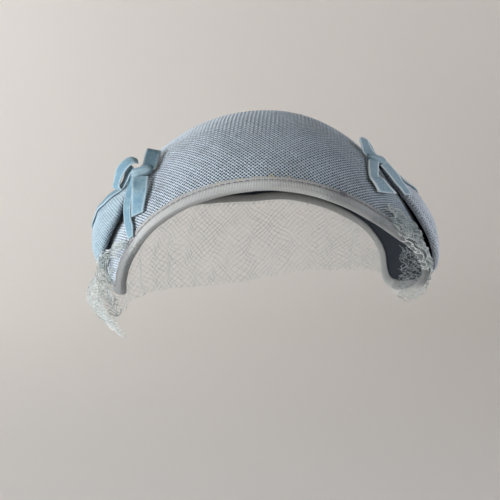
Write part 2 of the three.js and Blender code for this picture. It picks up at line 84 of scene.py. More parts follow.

# One row for each arch: angle from straight up towards the wearer's left, the arch's own
# radius, and where the cloth ends behind and in front.
ARCH_COLUMNS = ("alpha", "radius", "back", "front")
ARCHES = (
    (-96.4, 82.5, -18.5, -28.5),
    (-95.6, 83, -13, -33),
    (-94, 84, -3, -37),
    (-90, 87, 18, -43),
    (-85, 90, 30, -47),
    (-80, 91.5, 36.5, -51),
    (-72, 91.6, 45.5, -57),
    (-64, 91, 54.5, -64),
    (-50, 91, 63, -73.5),
    (-31, 95.3, 70, -81.5),
    (-14, 98.2, 72, -85),
    (3, 98.5, 70.8, -85.5),
    (18, 97.8, 68, -84.5),
    (31, 96.5, 63.5, -82),
    (47, 94.8, 55.5, -75),
    (59, 93.2, 48, -65),
    (67, 91.7, 43, -58),
    (75, 89.6, 37, -48.5),
    (80, 88, 33, -33.5),
    (83.6, 86, 29, -5),
    (85.1, 85.1, 25.6, 7),
    (85.9, 84.6, 20.5, 14),
)

# The draped layer, from the left bow round the front to the right bow: its upper edge, its free
# edge, how far it stands off the crown there and at its crest, and where the band crosses it.
DRAPE_COLUMNS = ("top_alpha", "top_y", "edge_alpha", "edge_y", "edge_lift", "crest", "band")
DRAPE = (
    (40, 5, 40.5, 13, 1.8, 1.8, 0.7),
    (46, -3, 46, 15, 2.6, 2.6, 0.7),
    (51, -11.5, 51.5, 19, 4, 4.6, 0.62),
    (55.5, -19, 58, 24, 5.4, 7.6, 0.53),
    (59, -26, 64, 21.5, 5.6, 9.5, 0.46),
    (61.5, -34, 71, 15, 5.2, 9.7, 0.42),
    (62, -42, 78.5, 6, 4.6, 8.6, 0.3),
    (60, -49, 76.4, -24, 2.6, 4.6, 0.2),
    (55.5, -55, 68, -48, 1.8, 2.4, 0.1),
    (48, -60.5, 57, -57.5, 1.8, 1.9, 0.05),
    (35.5, -69, 40.5, -72, 1.8, 1.9, 0),
    (18, -73.5, 20, -80, 1.8, 1.9, 0),
    (0, -75, 0, -81.5, 1.8, 1.9, 0),
    (-18, -73.5, -20, -79.8, 1.8, 1.9, 0),
    (-35.5, -69, -40.5, -71.5, 1.8, 1.9, 0),
    (-48.5, -61.5, -58, -59, 1.8, 1.9, 0.05),
    (-57, -54.5, -71, -50, 1.8, 2.4, 0.1),
    (-62, -48, -83.5, -37, 1.8, 3.2, 0.2),
    (-64, -40, -89, -12, 2.8, 3.8, 0.26),
    (-63, -31, -86.5, 12, 4.6, 6.2, 0.28),
    (-60.5, -23, -79.5, 24, 6.4, 8.8, 0.28),
    (-57, -16, -71, 28.5, 6.8, 9.2, 0.3),
    (-52, -8, -62, 28.5, 6.2, 7.6, 0.38),
    (-47, -1, -52.5, 22, 4.4, 5.0, 0.5),
    (-42, 8, -44, 17, 2.6, 2.6, 0.6),
)

# Each ribbon of the bows by its two edges, as the places (alpha, y, lift) that they pass.
RIBBONS = {
    "left_bow_upper_loop": (
        ((43, 21, 6.5), (39.5, 24.5, 2)),
        ((41, 18.5, 7), (38.5, 22, 1.5)),
        ((39.5, 15.5, 8), (36.5, 17, 2)),
        ((37.5, 12.5, 9), (35, 13, 2.5)),
        ((37.5, 10, 7.5), (34.5, 10, 2)),
        ((39, 12.5, 6), (36, 13.5, 1)),
        ((40.5, 15, 5), (38, 19, 1)),
    ),
    "left_bow_side_loop": (
        ((42, 21.5, 10), (41.5, 15.5, 10)),
        ((43, 21.5, 12), (42.5, 14, 13)),
        ((45, 21, 12.5), (45, 13.5, 14.5)),
        ((47, 20.5, 12), (48, 13, 14)),
        ((49.5, 20, 11), (50.5, 13, 12)),
        ((51, 20.5, 10), (52.5, 13, 10.5)),
        ((51, 20.5, 8), (52, 13.5, 8)),
        ((48.5, 21, 8), (49, 14, 8)),
        ((46, 21, 9), (46.5, 13.5, 9.5)),
        ((44, 21.5, 9.5), (44, 15, 10)),
    ),
    "left_bow_short_tail": (
        ((46.5, 22.5, 8), (42.5, 27, 3)),
        ((49, 29, 7.5), (45.5, 33.5, 2.5)),
        ((52, 31, 5), (49, 37.5, 2)),
        ((56.5, 34.5, 2.5), (52.5, 41, 2)),
    ),
    "left_bow_long_tail": (
        ((47, 19.5, 8.5), (45, 23.5, 6)),
        ((50, 20, 6), (49, 25, 4)),
        ((55, 25, 4.5), (53.5, 30, 3)),
        ((59, 30, 3), (57, 35, 2.5)),
        ((61, 33.5, 2.5), (58.5, 38.5, 2)),
        ((63.5, 39, 2), (61.5, 42.5, 2)),
    ),
    "right_bow_upper_loop": (
        ((-37, 27, 1), (-39.5, 22, 5)),
        ((-34.5, 25.5, 1), (-37.5, 21, 5)),
        ((-33, 24.5, 3), (-36, 20, 5.5)),
        ((-31.5, 23, 5), (-35, 18.5, 6.5)),
        ((-32, 20, 6), (-35.5, 16.5, 6.5)),
        ((-34, 19, 4), (-37, 15.5, 5.5)),
        ((-37, 19.5, 2.5), (-39, 16, 4.5)),
    ),
    "right_bow_folded_tail": (
        ((-36.5, 32, 1.5), (-40.5, 24, 4.5)),
        ((-37, 39.5, 1.5), (-41, 32.5, 3.5)),
        ((-38, 45.5, 1.5), (-42, 39.5, 2.5)),
        ((-38.5, 47.5, 2), (-43.5, 40, 4)),
        ((-41, 49, 2), (-46.5, 41.5, 4.5)),
        ((-43.5, 50.5, 1.5), (-50.5, 41.5, 5)),
    ),
    "right_bow_long_tail": (
        ((-41.5, 28, 3.5), (-43, 23.5, 7)),
        ((-46, 28, 3.5), (-48.5, 22.5, 7)),
        ((-49, 28, 3.5), (-52, 22, 6.5)),
        ((-52, 28, 4), (-55, 22, 6.5)),
        ((-55, 28, 4), (-57, 23, 6.5)),
    ),
}

# Each knot by the places of its two ends, and how high and how deep it is between them.
KNOTS = {
    "left_bow_knot": ((46, 21.5, 9.5), (40, 23.5, 3), 3, 2.5),
    "right_bow_knot": ((-36, 28.5, 2), (-43, 23.5, 6), 2.5, 2.5),
}

# The veil, along the front edge from the left corner to the right one: how far its middle and
# its hem stand out from that edge, and how far they drop below it.
VEIL_COLUMNS = ("share", "mid_out", "mid_drop", "hem_out", "hem_drop")
VEIL = (
    (0, 8, 8, -3, 25),
    (0.08, 12, 10, -1, 29),
    (0.25, 14, 20, 7, 42),
    (0.5, 13, 27, 14, 54),
    (0.75, 14, 19, 8, 38),
    (0.92, 19, 5, 10, 15),
    (1, 22, -1, 15, 8),
)
VEIL_TUCK = (5.0, 2.8)  # where it is sewn on: inward from the front edge, and up
VEIL_TURN = (-0.8, 3.2)  # and where it turns over that edge

# The net bunched at the two back corners, as patches. Each has its two edges as the places
# (alpha, y, lift) that they pass, after how far it is crumpled up off them, the share of the
# veil's cell and of its thread that it has there, and how much darker its thread is painted;
# the darkest, the net hanging inside the hat, is painted shade.
NET_PATCHES = {
    "left_veil_end": (
        (
            (1.5, 0.85, 1.2, 0.1),
            ((64, 36, 1), (65, 42, 1)),
            ((67, 28, 1.5), (68, 38.5, 2)),
            ((70.5, 18, 2), (72, 31.5, 2)),
            ((73.5, 13, 5.5), (75.5, 23, 2)),
            ((75.5, 10, 7.5), (79, 14.5, 1.5)),
        ),
        (
            (0.8, 0.9, 0.9, 0.2),
            ((76, 19, 1), (76.5, 29, 1)),
            ((80, 11, 1), (80.5, 21, 1)),
            ((83.5, 4, 1), (84, 12, 1)),
        ),
        (
            (2.0, 1.05, 1.3, 0.35),
            ((73.5, 18, 7), (76.5, 19, 2)),
            ((76, 14, 7), (78, 15, 1.5)),
            ((80.5, 11, 8), (83.5, 11.5, 2.5)),
            ((86, 7.5, 9), (87, 8, 1.5)),
            ((92, 4.5, 5.5), (90.5, 5, -3)),
            ((99, 0, 1.5), (95.5, 0, -6)),
        ),
    ),
    "right_veil_end": (
        (
            (1.2, 0.7, 1.2, 0.0),
            ((-54, 50, 1), (-53, 58.5, 1.5)),
            ((-59, 46, 1), (-57.5, 60, 2)),
            ((-63.5, 42.5, 1), (-62.5, 58, 2)),
            ((-70, 36, 1), (-68.5, 53, 2)),
            ((-76, 29, 1), (-74.5, 46, 2)),
            ((-82, 22, 1), (-80.5, 39, 2)),
            ((-88, 10, 1), (-87, 29, 1.5)),
        ),
        (
            (0.9, 0.62, 1.2, 0.05),
            ((-60.5, 58, 1.5), (-60, 58, -1.5)),
            ((-65, 55, 1.5), (-64.5, 54.5, -3)),
            ((-70, 50, 1.5), (-69.5, 49.5, -3.5)),
            ((-75.5, 43.5, 1.5), (-75, 43, -4)),
            ((-81, 37.5, 1.5), (-80.5, 37, -3.5)),
            ((-87, 27, 1), (-86.5, 26.5, -3)),
        ),
        (
            (1.5, 0.75, 1.2, 0.1),
            ((-50, 49.5, 1), (-49, 57, 1)),
            ((-54.5, 45, 1), (-54, 55, 2)),
            ((-59, 41, 1), (-59, 52, 2)),
            ((-64, 36, 1), (-64.5, 48, 2)),
            ((-70, 30, 1), (-71, 42, 1)),
        ),
        (
            (-1.2, 1.15, 0.9, 0.6),
            ((-72, 43, -3.5), (-69.5, 36, -11)),
            ((-77, 37, -3.5), (-75, 28.5, -15)),
            ((-82, 31, -3.5), (-81.5, 17, -17)),
            ((-88, 17, -3.5), (-88, 4.5, -14)),
            ((-93, -1, -3.5), (-94, -6.5, -7.5)),
        ),
        (
            (1.5, 1.1, 1.0, 0.25),
            ((-95.5, -8.5, -6), (-102, -12, -2)),
            ((-95, -8, -1.5), (-101.5, -11.5, 2.5)),
            ((-94.5, -8, 2.5), (-101, -11, 6)),
            ((-93.5, -7.5, 5), (-99.5, -10.5, 9)),
            ((-91, -7.5, 6.5), (-96.5, -10.5, 11.5)),
            ((-88.5, -7.5, 7), (-92.5, -10, 12)),
        ),
    ),
}


# ---- sizes and colours that a user would change ----------------------------------------------
def colour(code):
    """The linear red, green, blue and alpha of an sRGB code such as 0x9FB6C4."""
    levels = [((code >> shift) & 255) / 255 for shift in (16, 8, 0)]
    linear = [v / 12.92 if v <= 0.04045 else ((v + 0.055) / 1.055) ** 2.4 for v in levels]
    return (*linear, 1.0)


def number(name, description, default, low=0.0, **kind):
    return bpy.props.FloatProperty(name=name, description=description, default=default, min=low, **kind)


def length(name, description, default):
    return number(name, description, default * MM, unit="LENGTH", precision=5)


def power(name, description, default):
    return number(name, description, default, unit="POWER")


def tint(name, description, code):
    return bpy.props.FloatVectorProperty(
        name=name,
        description=description,
        default=colour(code),
        size=4,
        min=0.0,
        max=1.0,
        subtype="COLOR",
    )


class HALFHAT_ClothSettings(bpy.types.PropertyGroup):
    pitch: length("Thread pitch", "Distance between neighbouring threads of the cloth", 1.5)
    thick: length("Thread thickness", "Height of one thread", 0.42)
    rise: length("Weave rise", "How far a thread rises and falls as it passes its neighbours", 0.15)
    grain: bpy.props.FloatProperty(
        name="Grain",
        description="How far the cloth is turned from front to back when it is blocked",
        default=math.radians(34.3),
        subtype="ANGLE",
    )
    cover: number(
        "Cover", "Share of the pitch that a thread is wide", 0.55, 0.3, max=0.95, subtype="FACTOR"
    )
    light: tint("Straw", "Colour of the threads", 0xD5E3EE)
    # Painted shade: the threads at the wearer's right, away from the key light, are given this darker
    # colour.
    shaded: tint("Straw, right", "Colour of the threads at the wearer's right", 0xC3D2DC)
    faded: tint("Faded straw", "Colour of the threads where they have aged", 0xB4C0C8)
    draped: tint("Draped straw", "Colour of the puffed layer at the wearer's left", 0x98B2BF)
    draped_right: tint("Draped straw, right", "Colour of the puffed layer at the right", 0xDCE3EC)
    # The foundation is a real layer, kept near black as painted shade in the pinholes between the
    # threads; the same colour is the painted shade in the weave's grooves.
    dark: tint("Foundation", "Colour of the stiffened layer behind the threads", 0x161F28)


class HALFHAT_RibbonSettings(bpy.types.PropertyGroup):
    rib: length("Rib pitch", "Distance between the cross ribs of the binding ribbon", 0.8)
    rib_rise: length("Rib rise", "Height of a cross rib", 0.2)
    grosgrain: tint("Grosgrain", "Colour of the binding ribbon", 0xD9DCD8)
    soiled: tint("Soiled grosgrain", "Colour of the binding where it has yellowed", 0xC6C1B4)
    stitch: tint("Stitching", "Colour of the sewing thread", 0x6C6672)
    velvet: tint("Velvet", "Colour of the velvet ribbon", 0x6C8E9E)
    worn: tint("Worn velvet", "Colour of the velvet along its edges and folds", 0xBBCDD2)


class HALFHAT_VeilSettings(bpy.types.PropertyGroup):
    cell: length("Cell", "Side of one diamond of the net", 2.5)
    thread: length("Net thread", "Thickness of the net's thread", 0.27)
    net: tint("Net", "Colour of the net", 0xDDE2DE)


class HALFHAT_StudioSettings(bpy.types.PropertyGroup):
    floor_drop: length("Floor drop", "How far the floor lies below the hat", 320.0)
    backdrop: tint("Backdrop", "Colour of the floor and the wall behind", 0xE2DFDB)
    key: power("Key light", "Power of the soft light from the left of the camera", 26.5)
    lamp: power("Lamp", "Power of the small lamp above the camera", 0.7)
    fill: power("Fill light", "Power of the soft light from the right of the camera", 7.6)
    wall: power("Wall light", "Power of the light on the wall behind the hat", 24.0)
    air: number("Air", "Strength of the even grey light from all round", 0.12, subtype="FACTOR")


# ---- curves and the dome ----------------------------------------------------------------------
def smooth_curve(xs, ys):
    """A function through the points of a table, with no overshoot at its turns."""
    xs = np.asarray(xs, float)
    ys = np.asarray(ys, float)
    step = np.diff(xs)
    pitch = np.diff(ys) / step
    slope = np.empty(len(xs))
    slope[1:-1] = (step[1:] * pitch[:-1] + step[:-1] * pitch[1:]) / (step[1:] + step[:-1])
    slope[0] = pitch[0]
    slope[-1] = pitch[-1]

    def at(x):
        x = np.asarray(x, float)
        i = np.clip(np.searchsorted(xs, x) - 1, 0, len(xs) - 2)
        t = np.clip((x - xs[i]) / step[i], -0.5, 1.5)
        rise = t * t * (3 - 2 * t)
        swing = step[i] * t * (1 - t)
        return ys[i] + (ys[i + 1] - ys[i]) * rise + swing * (slope[i] * (1 - t) - slope[i + 1] * t)

    return at


def columns(rows, names, along=None):
    """The named columns of a table as functions of the row number or of one of the columns."""
    table = np.array(rows, float)
    keys = np.arange(len(table)) if along is None else table[:, names.index(along)]
    return {name: smooth_curve(keys, table[:, i]) for i, name in enumerate(names)}


ARCH = columns(ARCHES, ARCH_COLUMNS, "alpha")
DRAPE_ROW = columns(DRAPE, DRAPE_COLUMNS)
VEIL_ROW = columns(VEIL, VEIL_COLUMNS, "share")


def unit(vectors):
    return vectors / np.maximum(np.linalg.norm(vectors, axis=-1, keepdims=True), 1e-9)


def run_along(places):
    """The distance from the first of a line of places to each of them."""
    return np.concatenate([[0], np.cumsum(np.linalg.norm(np.diff(places, axis=0), axis=-1))])


def runs_along(lines):
    """The same for many lines of places at once (lines, places, 3)."""
    run = np.linalg.norm(np.diff(lines, axis=1), axis=-1)
    return np.concatenate([np.zeros((len(lines), 1)), np.cumsum(run, 1)], 1)


def at_distance(distance, run, places):
    """The places at a distance along a line, whose own places lie at the distances run."""
    return np.stack([np.interp(distance, run, places[:, axis]) for axis in range(3)], -1)


def edge_paths(edges, steps):
    """The two edges of a ribbon or a patch, from pairs of places (alpha, y, lift), as lines with
    a number of steps from pair to pair, and the directions square to the dome along the first."""
    last = len(edges) - 1
    row = np.linspace(0, last, steps * last + 1)
    sides = []
    for side in (0, 1):
        path = columns([pair[side] for pair in edges], ("alpha", "y", "lift"))
        sides.append(lay(path["alpha"](row), path["y"](row), path["lift"](row)))
    (first, normal), (second, _) = sides
    return first, second, normal


def lay(alpha, y, lift=0.0):
    """The places on the dome at arch angles and distances along Y, raised by lift, and the
    directions square to the dome there."""
    alpha, y, lift = np.broadcast_arrays(
        np.asarray(alpha, float), np.asarray(y, float), np.asarray(lift, float)
    )
    reach = np.where(y > 0, REACH_BACK, REACH_FRONT)
    full = ARCH["radius"](alpha)
    radius = full * np.sqrt(np.maximum(1 - (y / reach) ** 2, 1e-6))
    turn = np.radians(alpha)
    normal = unit(
        np.stack([np.sin(turn) * radius / full**2, y / reach**2, np.cos(turn) * radius / full**2], -1)
    )
    place = np.stack([radius * np.sin(turn), y, AXIS_Z + radius * np.cos(turn)], -1)
    return place + normal * lift[..., None], normal


def step_aside(alpha, y, along_alpha, along_y, distance):
    """Moves places on the dome by a distance square to a direction along it."""
    small = 0.01
    per_alpha = (lay(alpha + small, y)[0] - lay(alpha - small, y)[0]) / (2 * small)
    per_y = (lay(alpha, y + small)[0] - lay(alpha, y - small)[0]) / (2 * small)
    e = (per_alpha**2).sum(-1)
    f = (per_alpha * per_y).sum(-1)
    g = (per_y**2).sum(-1)
    aside_alpha = -(f * along_alpha + g * along_y)
    aside_y = e * along_alpha + f * along_y
    size = np.sqrt(e * aside_alpha**2 + 2 * f * aside_alpha * aside_y + g * aside_y**2)
    return alpha + aside_alpha / size * distance, y + aside_y / size * distance


def edge_line(edge, distances=None, count=None, margin=0.2):
    """Stations along an edge of the crown, from the middle of the left corner to the middle of
    the right one, with the direction the edge runs in at each."""
    left, right = ARCHES[-1], ARCHES[0]
    near = 0.5 - 0.5 * np.cos(np.linspace(0, math.pi, 1400))
    alpha = left[0] + (right[0] - left[0]) * near
    alpha = np.concatenate([[left[0]], alpha, [right[0]]])
    y = edge(alpha)
    y[0] = (left[2] + left[3]) / 2
    y[-1] = (right[2] + right[3]) / 2
    place = lay(alpha, y)[0]
    along = run_along(place)
    if distances is None:
        distances = np.linspace(margin, along[-1] - margin, count)

    def at(distance):
        distance = np.clip(distance, 0, along[-1])
        return np.interp(distance, along, alpha), np.interp(distance, along, y)

    here, before, after = at(distances), at(distances - 3), at(distances + 3)
    return {
        "alpha": here[0],
        "y": here[1],
        "along_alpha": after[0] - before[0],
        "along_y": after[1] - before[1],
        "distance": distances,
        "share": distances / along[-1],
        "total": along[-1],
    }


def near_edge(line, side, inward, lift):
    """Places near an edge, a row for each station and a column for each pair of distances."""
    inward = np.asarray(inward, float)
    pick = {k: line[k][:, None] for k in ("alpha", "y", "along_alpha", "along_y")}
    alpha, y = step_aside(pick["alpha"], pick["y"], pick["along_alpha"], pick["along_y"], side * inward)
    return lay(alpha, y, lift)


# ---- meshes -----------------------------------------------------------------------------------
def deselect():
    for piece in bpy.context.selected_objects:
        piece.select_set(False)


def mesh_piece(name, points, faces, material, slot, replaces=(), maps=None, values=None):
    """A piece from points in millimetres and arrays of faces, with a UV map or values if given.
    maps holds one pair for each corner of each face, in order."""
    mesh = bpy.data.meshes.new(name)
    points = np.asarray(points, float).reshape(-1, 3)
    corners = np.concatenate([f.ravel() for f in faces])
    sizes = np.concatenate([np.full(len(f), f.shape[1]) for f in faces])
    mesh.vertices.add(len(points))
    mesh.vertices.foreach_set("co", (points * MM).ravel())
    mesh.loops.add(len(corners))
    mesh.loops.foreach_set("vertex_index", corners)
    mesh.polygons.add(len(sizes))
    mesh.polygons.foreach_set("loop_start", np.concatenate([[0], np.cumsum(sizes)[:-1]]))
    mesh.polygons.foreach_set("use_smooth", np.ones(len(sizes), bool))
    mesh.update(calc_edges=True)
    if maps is not None:
        layer = mesh.uv_layers.new(name="cloth", do_init=False)
        per_point = np.asarray(maps, float).reshape(-1, 2)
        layer.uv.foreach_set("vector", per_point[corners].astype(np.float32).ravel())
    for key, value in (values or {}).items():
        attribute = mesh.attributes.new(key, "FLOAT", "POINT")
        attribute.data.foreach_set("value", np.asarray(value, np.float32).ravel())
    mesh.materials.append(material)
    piece = bpy.data.objects.new(name, mesh)
    bpy.context.scene.collection.objects.link(piece)
    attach(piece, "root")
    if replaces:
        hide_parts(*replaces)
    return piece


def ring_faces(rings, around, first=0):
    """Quads between rings that each have the same number of points."""
    i = np.arange(rings - 1)[:, None]
    j = np.arange(around)[None, :]
    a = first + i * around + j
    b = first + i * around + (j + 1) % around
    return np.stack([a, b, b + around, a + around], -1).reshape(-1, 4)


def end_faces(start, around, flip):
    """The flat ends of a closed section, paired across it from its first and last points."""
    j = np.arange(around // 2 - 1)
    far = around - 1 - j
    faces = start + np.stack([j, far, far - 1, j + 1], -1)
    return faces[:, ::-1] if flip else faces


def is_inside_out(points, faces):
    a, b, c = (points[faces[:, k]] for k in range(3))
    volume = (a * np.cross(b, c)).sum()
    if faces.shape[1] == 4:
        d = points[faces[:, 3]]
        volume += (a * np.cross(c, d)).sum()
    return volume < 0


def lofted(rings):
    """Points and outward faces of a closed body through rings (rings, around, 3)."""
    count, around = rings.shape[:2]
    points = rings.reshape(-1, 3)
    sides = ring_faces(count, around)
    faces = [sides, end_faces(0, around, False), end_faces((count - 1) * around, around, True)]
    if is_inside_out(points, np.concatenate(faces)):
        faces = [f[:, ::-1] for f in faces]
    return points, faces


# ---- weaving ----------------------------------------------------------------------------------
SLUB = 0.16  # how much a thread varies in thickness along its length
STRAY = 0.03  # how far it strays sideways, as a share of the pitch
CLOTH_POLE = (0.026, 0.605, 1.0)  # the way to the place that the cloth is blocked from
CLOTH_BALL = 95.0  # radius of the ball that it keeps its distances on
CLOTH_REACH = 195.0  # how far it is cut from the pole
COVER_MARGIN = 2.5  # the threads stop this far inside the edges, beneath the bindings


def threads(places, normals, inside, family, settings, lift, seed, open_share=1.0, under_fold_shade=None):
    """The threads of one family of a plain weave, as four-sided strands with flattened tops.

    places, normals and inside are given at every half step of the weave in both directions, and
    threads cross at the even steps. family 0 runs along the second direction, family 1 along
    the first. open_share is how open the weave is, 1 being as woven. The last argument is
    painted shade: how much darker the cloth is painted where it turns under, at the same half steps."""
    under_fold_shade = np.zeros(inside.shape) if under_fold_shade is None else np.broadcast_to(under_fold_shade, inside.shape)
    if family == 1:
        places = places.transpose(1, 0, 2)
        normals = normals.transpose(1, 0, 2)
        inside = inside.T
        under_fold_shade = under_fold_shade.T
    rise = settings.rise / MM * (0.4 + 0.6 * open_share)
    thick = settings.thick / MM
    cover = 1 - (1 - settings.cover) * (0.35 + 0.65 * open_share)
    rows = np.arange(2, places.shape[0] - 1, 2)
    middle, normal = places[rows, ::2], normals[rows, ::2]
    across = (places[rows + 1] - places[rows - 1])[:, ::2]
    usable = (inside[rows] & inside[rows + 1] & inside[rows - 1])[:, ::2]
    count, steps = usable.shape
    rng = np.random.default_rng(seed)
    slub = rng.normal(0, 1, (count, steps))
    for _ in range(2):
        slub = (np.roll(slub, 1, 1) + slub + np.roll(slub, -1, 1)) / 3
    fat = 1 + SLUB * slub
    wander = rng.normal(0, STRAY, (count, steps))
    crossing = np.arange(count)[:, None] + np.arange(steps)[None, :] + family
    wave = np.where(crossing % 2 == 0, rise, -rise)
    half = across * (cover / 2 * fat)[..., None]
    middle = middle + across * wander[..., None]
    low_side = normal * (lift + wave - 0.32 * thick)[..., None]
    top_side = normal * (lift + wave + 0.5 * thick * fat)[..., None]
    section = np.stack(
        [
            middle - half + low_side,
            middle - half * FLAT_TOP + top_side,
            middle + half * FLAT_TOP + top_side,
            middle + half + low_side,
        ],
        2,
    )
    number = np.full(usable.shape, -1)
    number[usable] = np.arange(usable.sum())
    points = section[usable].reshape(-1, 3)
    joined = usable[:, :-1] & usable[:, 1:]
    a = number[:, :-1][joined] * 4
    b = number[:, 1:][joined] * 4
    around = ((0, 1), (1, 2), (2, 3), (3, 0))
    sides = np.concatenate([np.stack([a + i, a + j, b + j, b + i], -1) for i, j in around])
    first = number[usable & ~np.pad(joined, ((0, 0), (1, 0)))] * 4
    last = number[usable & ~np.pad(joined, ((0, 0), (0, 1)))] * 4
    caps = np.concatenate(
        [
            np.stack([first + 3, first + 2, first + 1, first], -1),
            np.stack([last, last + 1, last + 2, last + 3], -1),
        ]
    )
    if is_inside_out(points, sides):
        sides = sides[:, ::-1]
        caps = caps[:, ::-1]
    run = np.cumsum(np.linalg.norm(np.diff(middle, axis=1, prepend=middle[:, :1]), axis=-1), 1)
    along = np.repeat(run[usable][:, None], 4, 1)
    side = np.broadcast_to(np.array([0.0, 0.3, 0.7, 1.0]), along.shape)
    shade = np.repeat((rng.normal(0, 1, (count, 1)) + 0.6 * slub)[usable][:, None], 4, 1)
    # Painted shade: each thread is painted darker along its sides and where it dips under its neighbour.
    low = (wave[usable] < 0).astype(float)
    edge, top = 0.6 + 0.4 * low, 0.7 * low
    groove_shade = np.stack([edge, top, top, edge], -1) * (0.35 + 0.65 * open_share)
    return {
        "points": points,
        "faces": [sides, caps],
        "maps": np.stack([side * settings.pitch / MM, along], -1),
        "values": {
            "shade": shade,
            "groove_shade": groove_shade,
            "under_fold_shade": np.repeat(under_fold_shade[rows][:, ::2][usable][:, None], 4, 1),
        },
    }


def cloth_lattice(settings):
    """The half steps of the cloth blocked over the dome: the cloth lies flat round a pole at the
    upper back of the crown and keeps its distances from there."""
    half = settings.pitch / MM / 2
    reach = int(CLOTH_REACH / half)
    u, v = np.meshgrid(np.arange(-reach, reach + 1), np.arange(-reach, reach + 1), indexing="ij")
    grain = settings.grain
    right = (u * math.cos(grain) - v * math.sin(grain)) * half / CLOTH_BALL
    rear = (u * math.sin(grain) + v * math.cos(grain)) * half / CLOTH_BALL
    pole = np.array(Vector(CLOTH_POLE).normalized())
    east = unit(np.array([1.0, 0, 0]) - pole[0] * pole)
    north = np.cross(pole, east)
    turn = np.hypot(right, rear)
    spin = np.arctan2(rear, right)
    towards = np.cos(spin)[..., None] * east + np.sin(spin)[..., None] * north
    direction = np.cos(turn)[..., None] * pole + np.sin(turn)[..., None] * towards
    alpha = np.degrees(np.arctan2(direction[..., 0], direction[..., 2]))
    slope = direction[..., 1] / np.hypot(direction[..., 0], direction[..., 2])
    full = ARCH["radius"](np.clip(alpha, ARCHES[0][0], ARCHES[-1][0]))
    limit = np.where(slope > 0, REACH_BACK, REACH_FRONT)
    y = slope * full / np.sqrt(1 + (slope * full / limit) ** 2)
    return alpha, y, turn < 0.9 * math.pi


def crown_cover(alpha, y):
    """Whether places on the dome show, short of the bindings' fold and of the draped layer."""
    low, high = ARCHES[0][0] + 0.4, ARCHES[-1][0] - 0.4
    bent = np.clip(alpha, low, high)
    within = (alpha > low) & (alpha < high)
    within &= y < ARCH["back"](bent) - COVER_MARGIN
    within &= y > ARCH["front"](bent) + COVER_MARGIN
    return within & ~under_drape(alpha, y)


def under_drape(alpha, y, share=0.3):
    """Whether places on the dome lie well under the draped layer, by the outline of that part."""
    rows = np.linspace(0, len(DRAPE) - 1, 120)
    at = {name: curve(rows) for name, curve in DRAPE_ROW.items()}
    top = np.stack([at["top_alpha"], at["top_y"]], -1)
    edge = np.stack([at["edge_alpha"], at["edge_y"]], -1)
    outline = np.concatenate([top + (edge - top) * share, (edge - (edge - top) * 0.25)[::-1]])
    inside = np.zeros(alpha.shape, bool)
    for (x0, y0), (x1, y1) in zip(outline, np.roll(outline, -1, 0)):
        if y0 == y1:
            continue
        crossed = (y0 > y) != (y1 > y)
        inside ^= crossed & (alpha < x0 + (y - y0) * (x1 - x0) / (y1 - y0))
    return inside


# ---- crown ------------------------------------------------------------------------------------
CLOTH_LEVEL = -0.12  # the middle of the weave, off the dome
FOUNDATION_LEVEL = -0.55  # the outside of the stiffened layer that it covers


def crown_foundation(settings):
    """The stiffened layer, from arch to arch."""
    low, high = ARCHES[0][0], ARCHES[-1][0]
    near = np.linspace(0, 1, 28) ** 1.6 * 11
    alpha = np.concatenate([low + near, np.linspace(low + 14, high - 14, 60), high - near[::-1]])
    back, front = ARCH["back"](alpha), ARCH["front"](alpha)
    turn = np.linspace(np.arcsin(back / REACH_BACK), np.arcsin(front / REACH_FRONT), 40, axis=-1)
    y = np.sin(turn) * np.where(turn > 0, REACH_BACK, REACH_FRONT)
    outer = lay(alpha[:, None], y, FOUNDATION_LEVEL)[0]
    inner = lay(alpha[:, None], y, -CROWN_WALL)[0]
    points, faces = lofted(np.concatenate([outer, inner[:, ::-1]], 1))
    piece = mesh_piece(
        "crown_foundation",
        points,
        faces,
        foundation_material(settings),
        "crown_cloth",
        ["crown"],
    )
    return piece


def crown_threads(settings):
    alpha, y, sound = cloth_lattice(settings)
    inside = sound & crown_cover(alpha, y)
    keep_u = np.flatnonzero(inside.any(1))
    keep_v = np.flatnonzero(inside.any(0))
    span_u = slice((keep_u[0] // 2) * 2 - 2, keep_u[-1] + 3)
    span_v = slice((keep_v[0] // 2) * 2 - 2, keep_v[-1] + 3)
    alpha, y, inside = (grid[span_u, span_v] for grid in (alpha, y, inside))
    places, normals = lay(alpha, y)
    pieces = []
    for family, name in enumerate(("crown_warp", "crown_weft")):
        made = threads(places, normals, inside, family, settings, CLOTH_LEVEL, 11 + family)
        pieces.append(
            mesh_piece(
                name, material=straw_material(settings), slot="crown_cloth", replaces=["crown"], **made
            )
        )
    return pieces


# ---- draped layer -----------------------------------------------------------------------------
FOLD_ROUND = 1.25  # radius of the edge where the draped layer turns under
TURNED_UNDER = 3.0  # how far it runs on beneath
TUCK_SHADE = 5.0  # how far from its edge the cloth is painted darker, as painted shade where it turns under
VALLEY = (0.9, 0.915, 0.03)  # the hollow above a rolled edge: depth, and its middle and width down


def drape_folds(row, share):
    """Soft folds that run down the draped layer, deepest between its crest and its edge."""
    down = np.clip(share, 0, 1)
    depth = 0.5 * np.sin(math.pi * down) ** 0.7
    return depth * (0.6 * np.sin(2.1 * row + 1.5 * down) + 0.4 * np.sin(5.3 * row - 2.2 * down + 0.7))


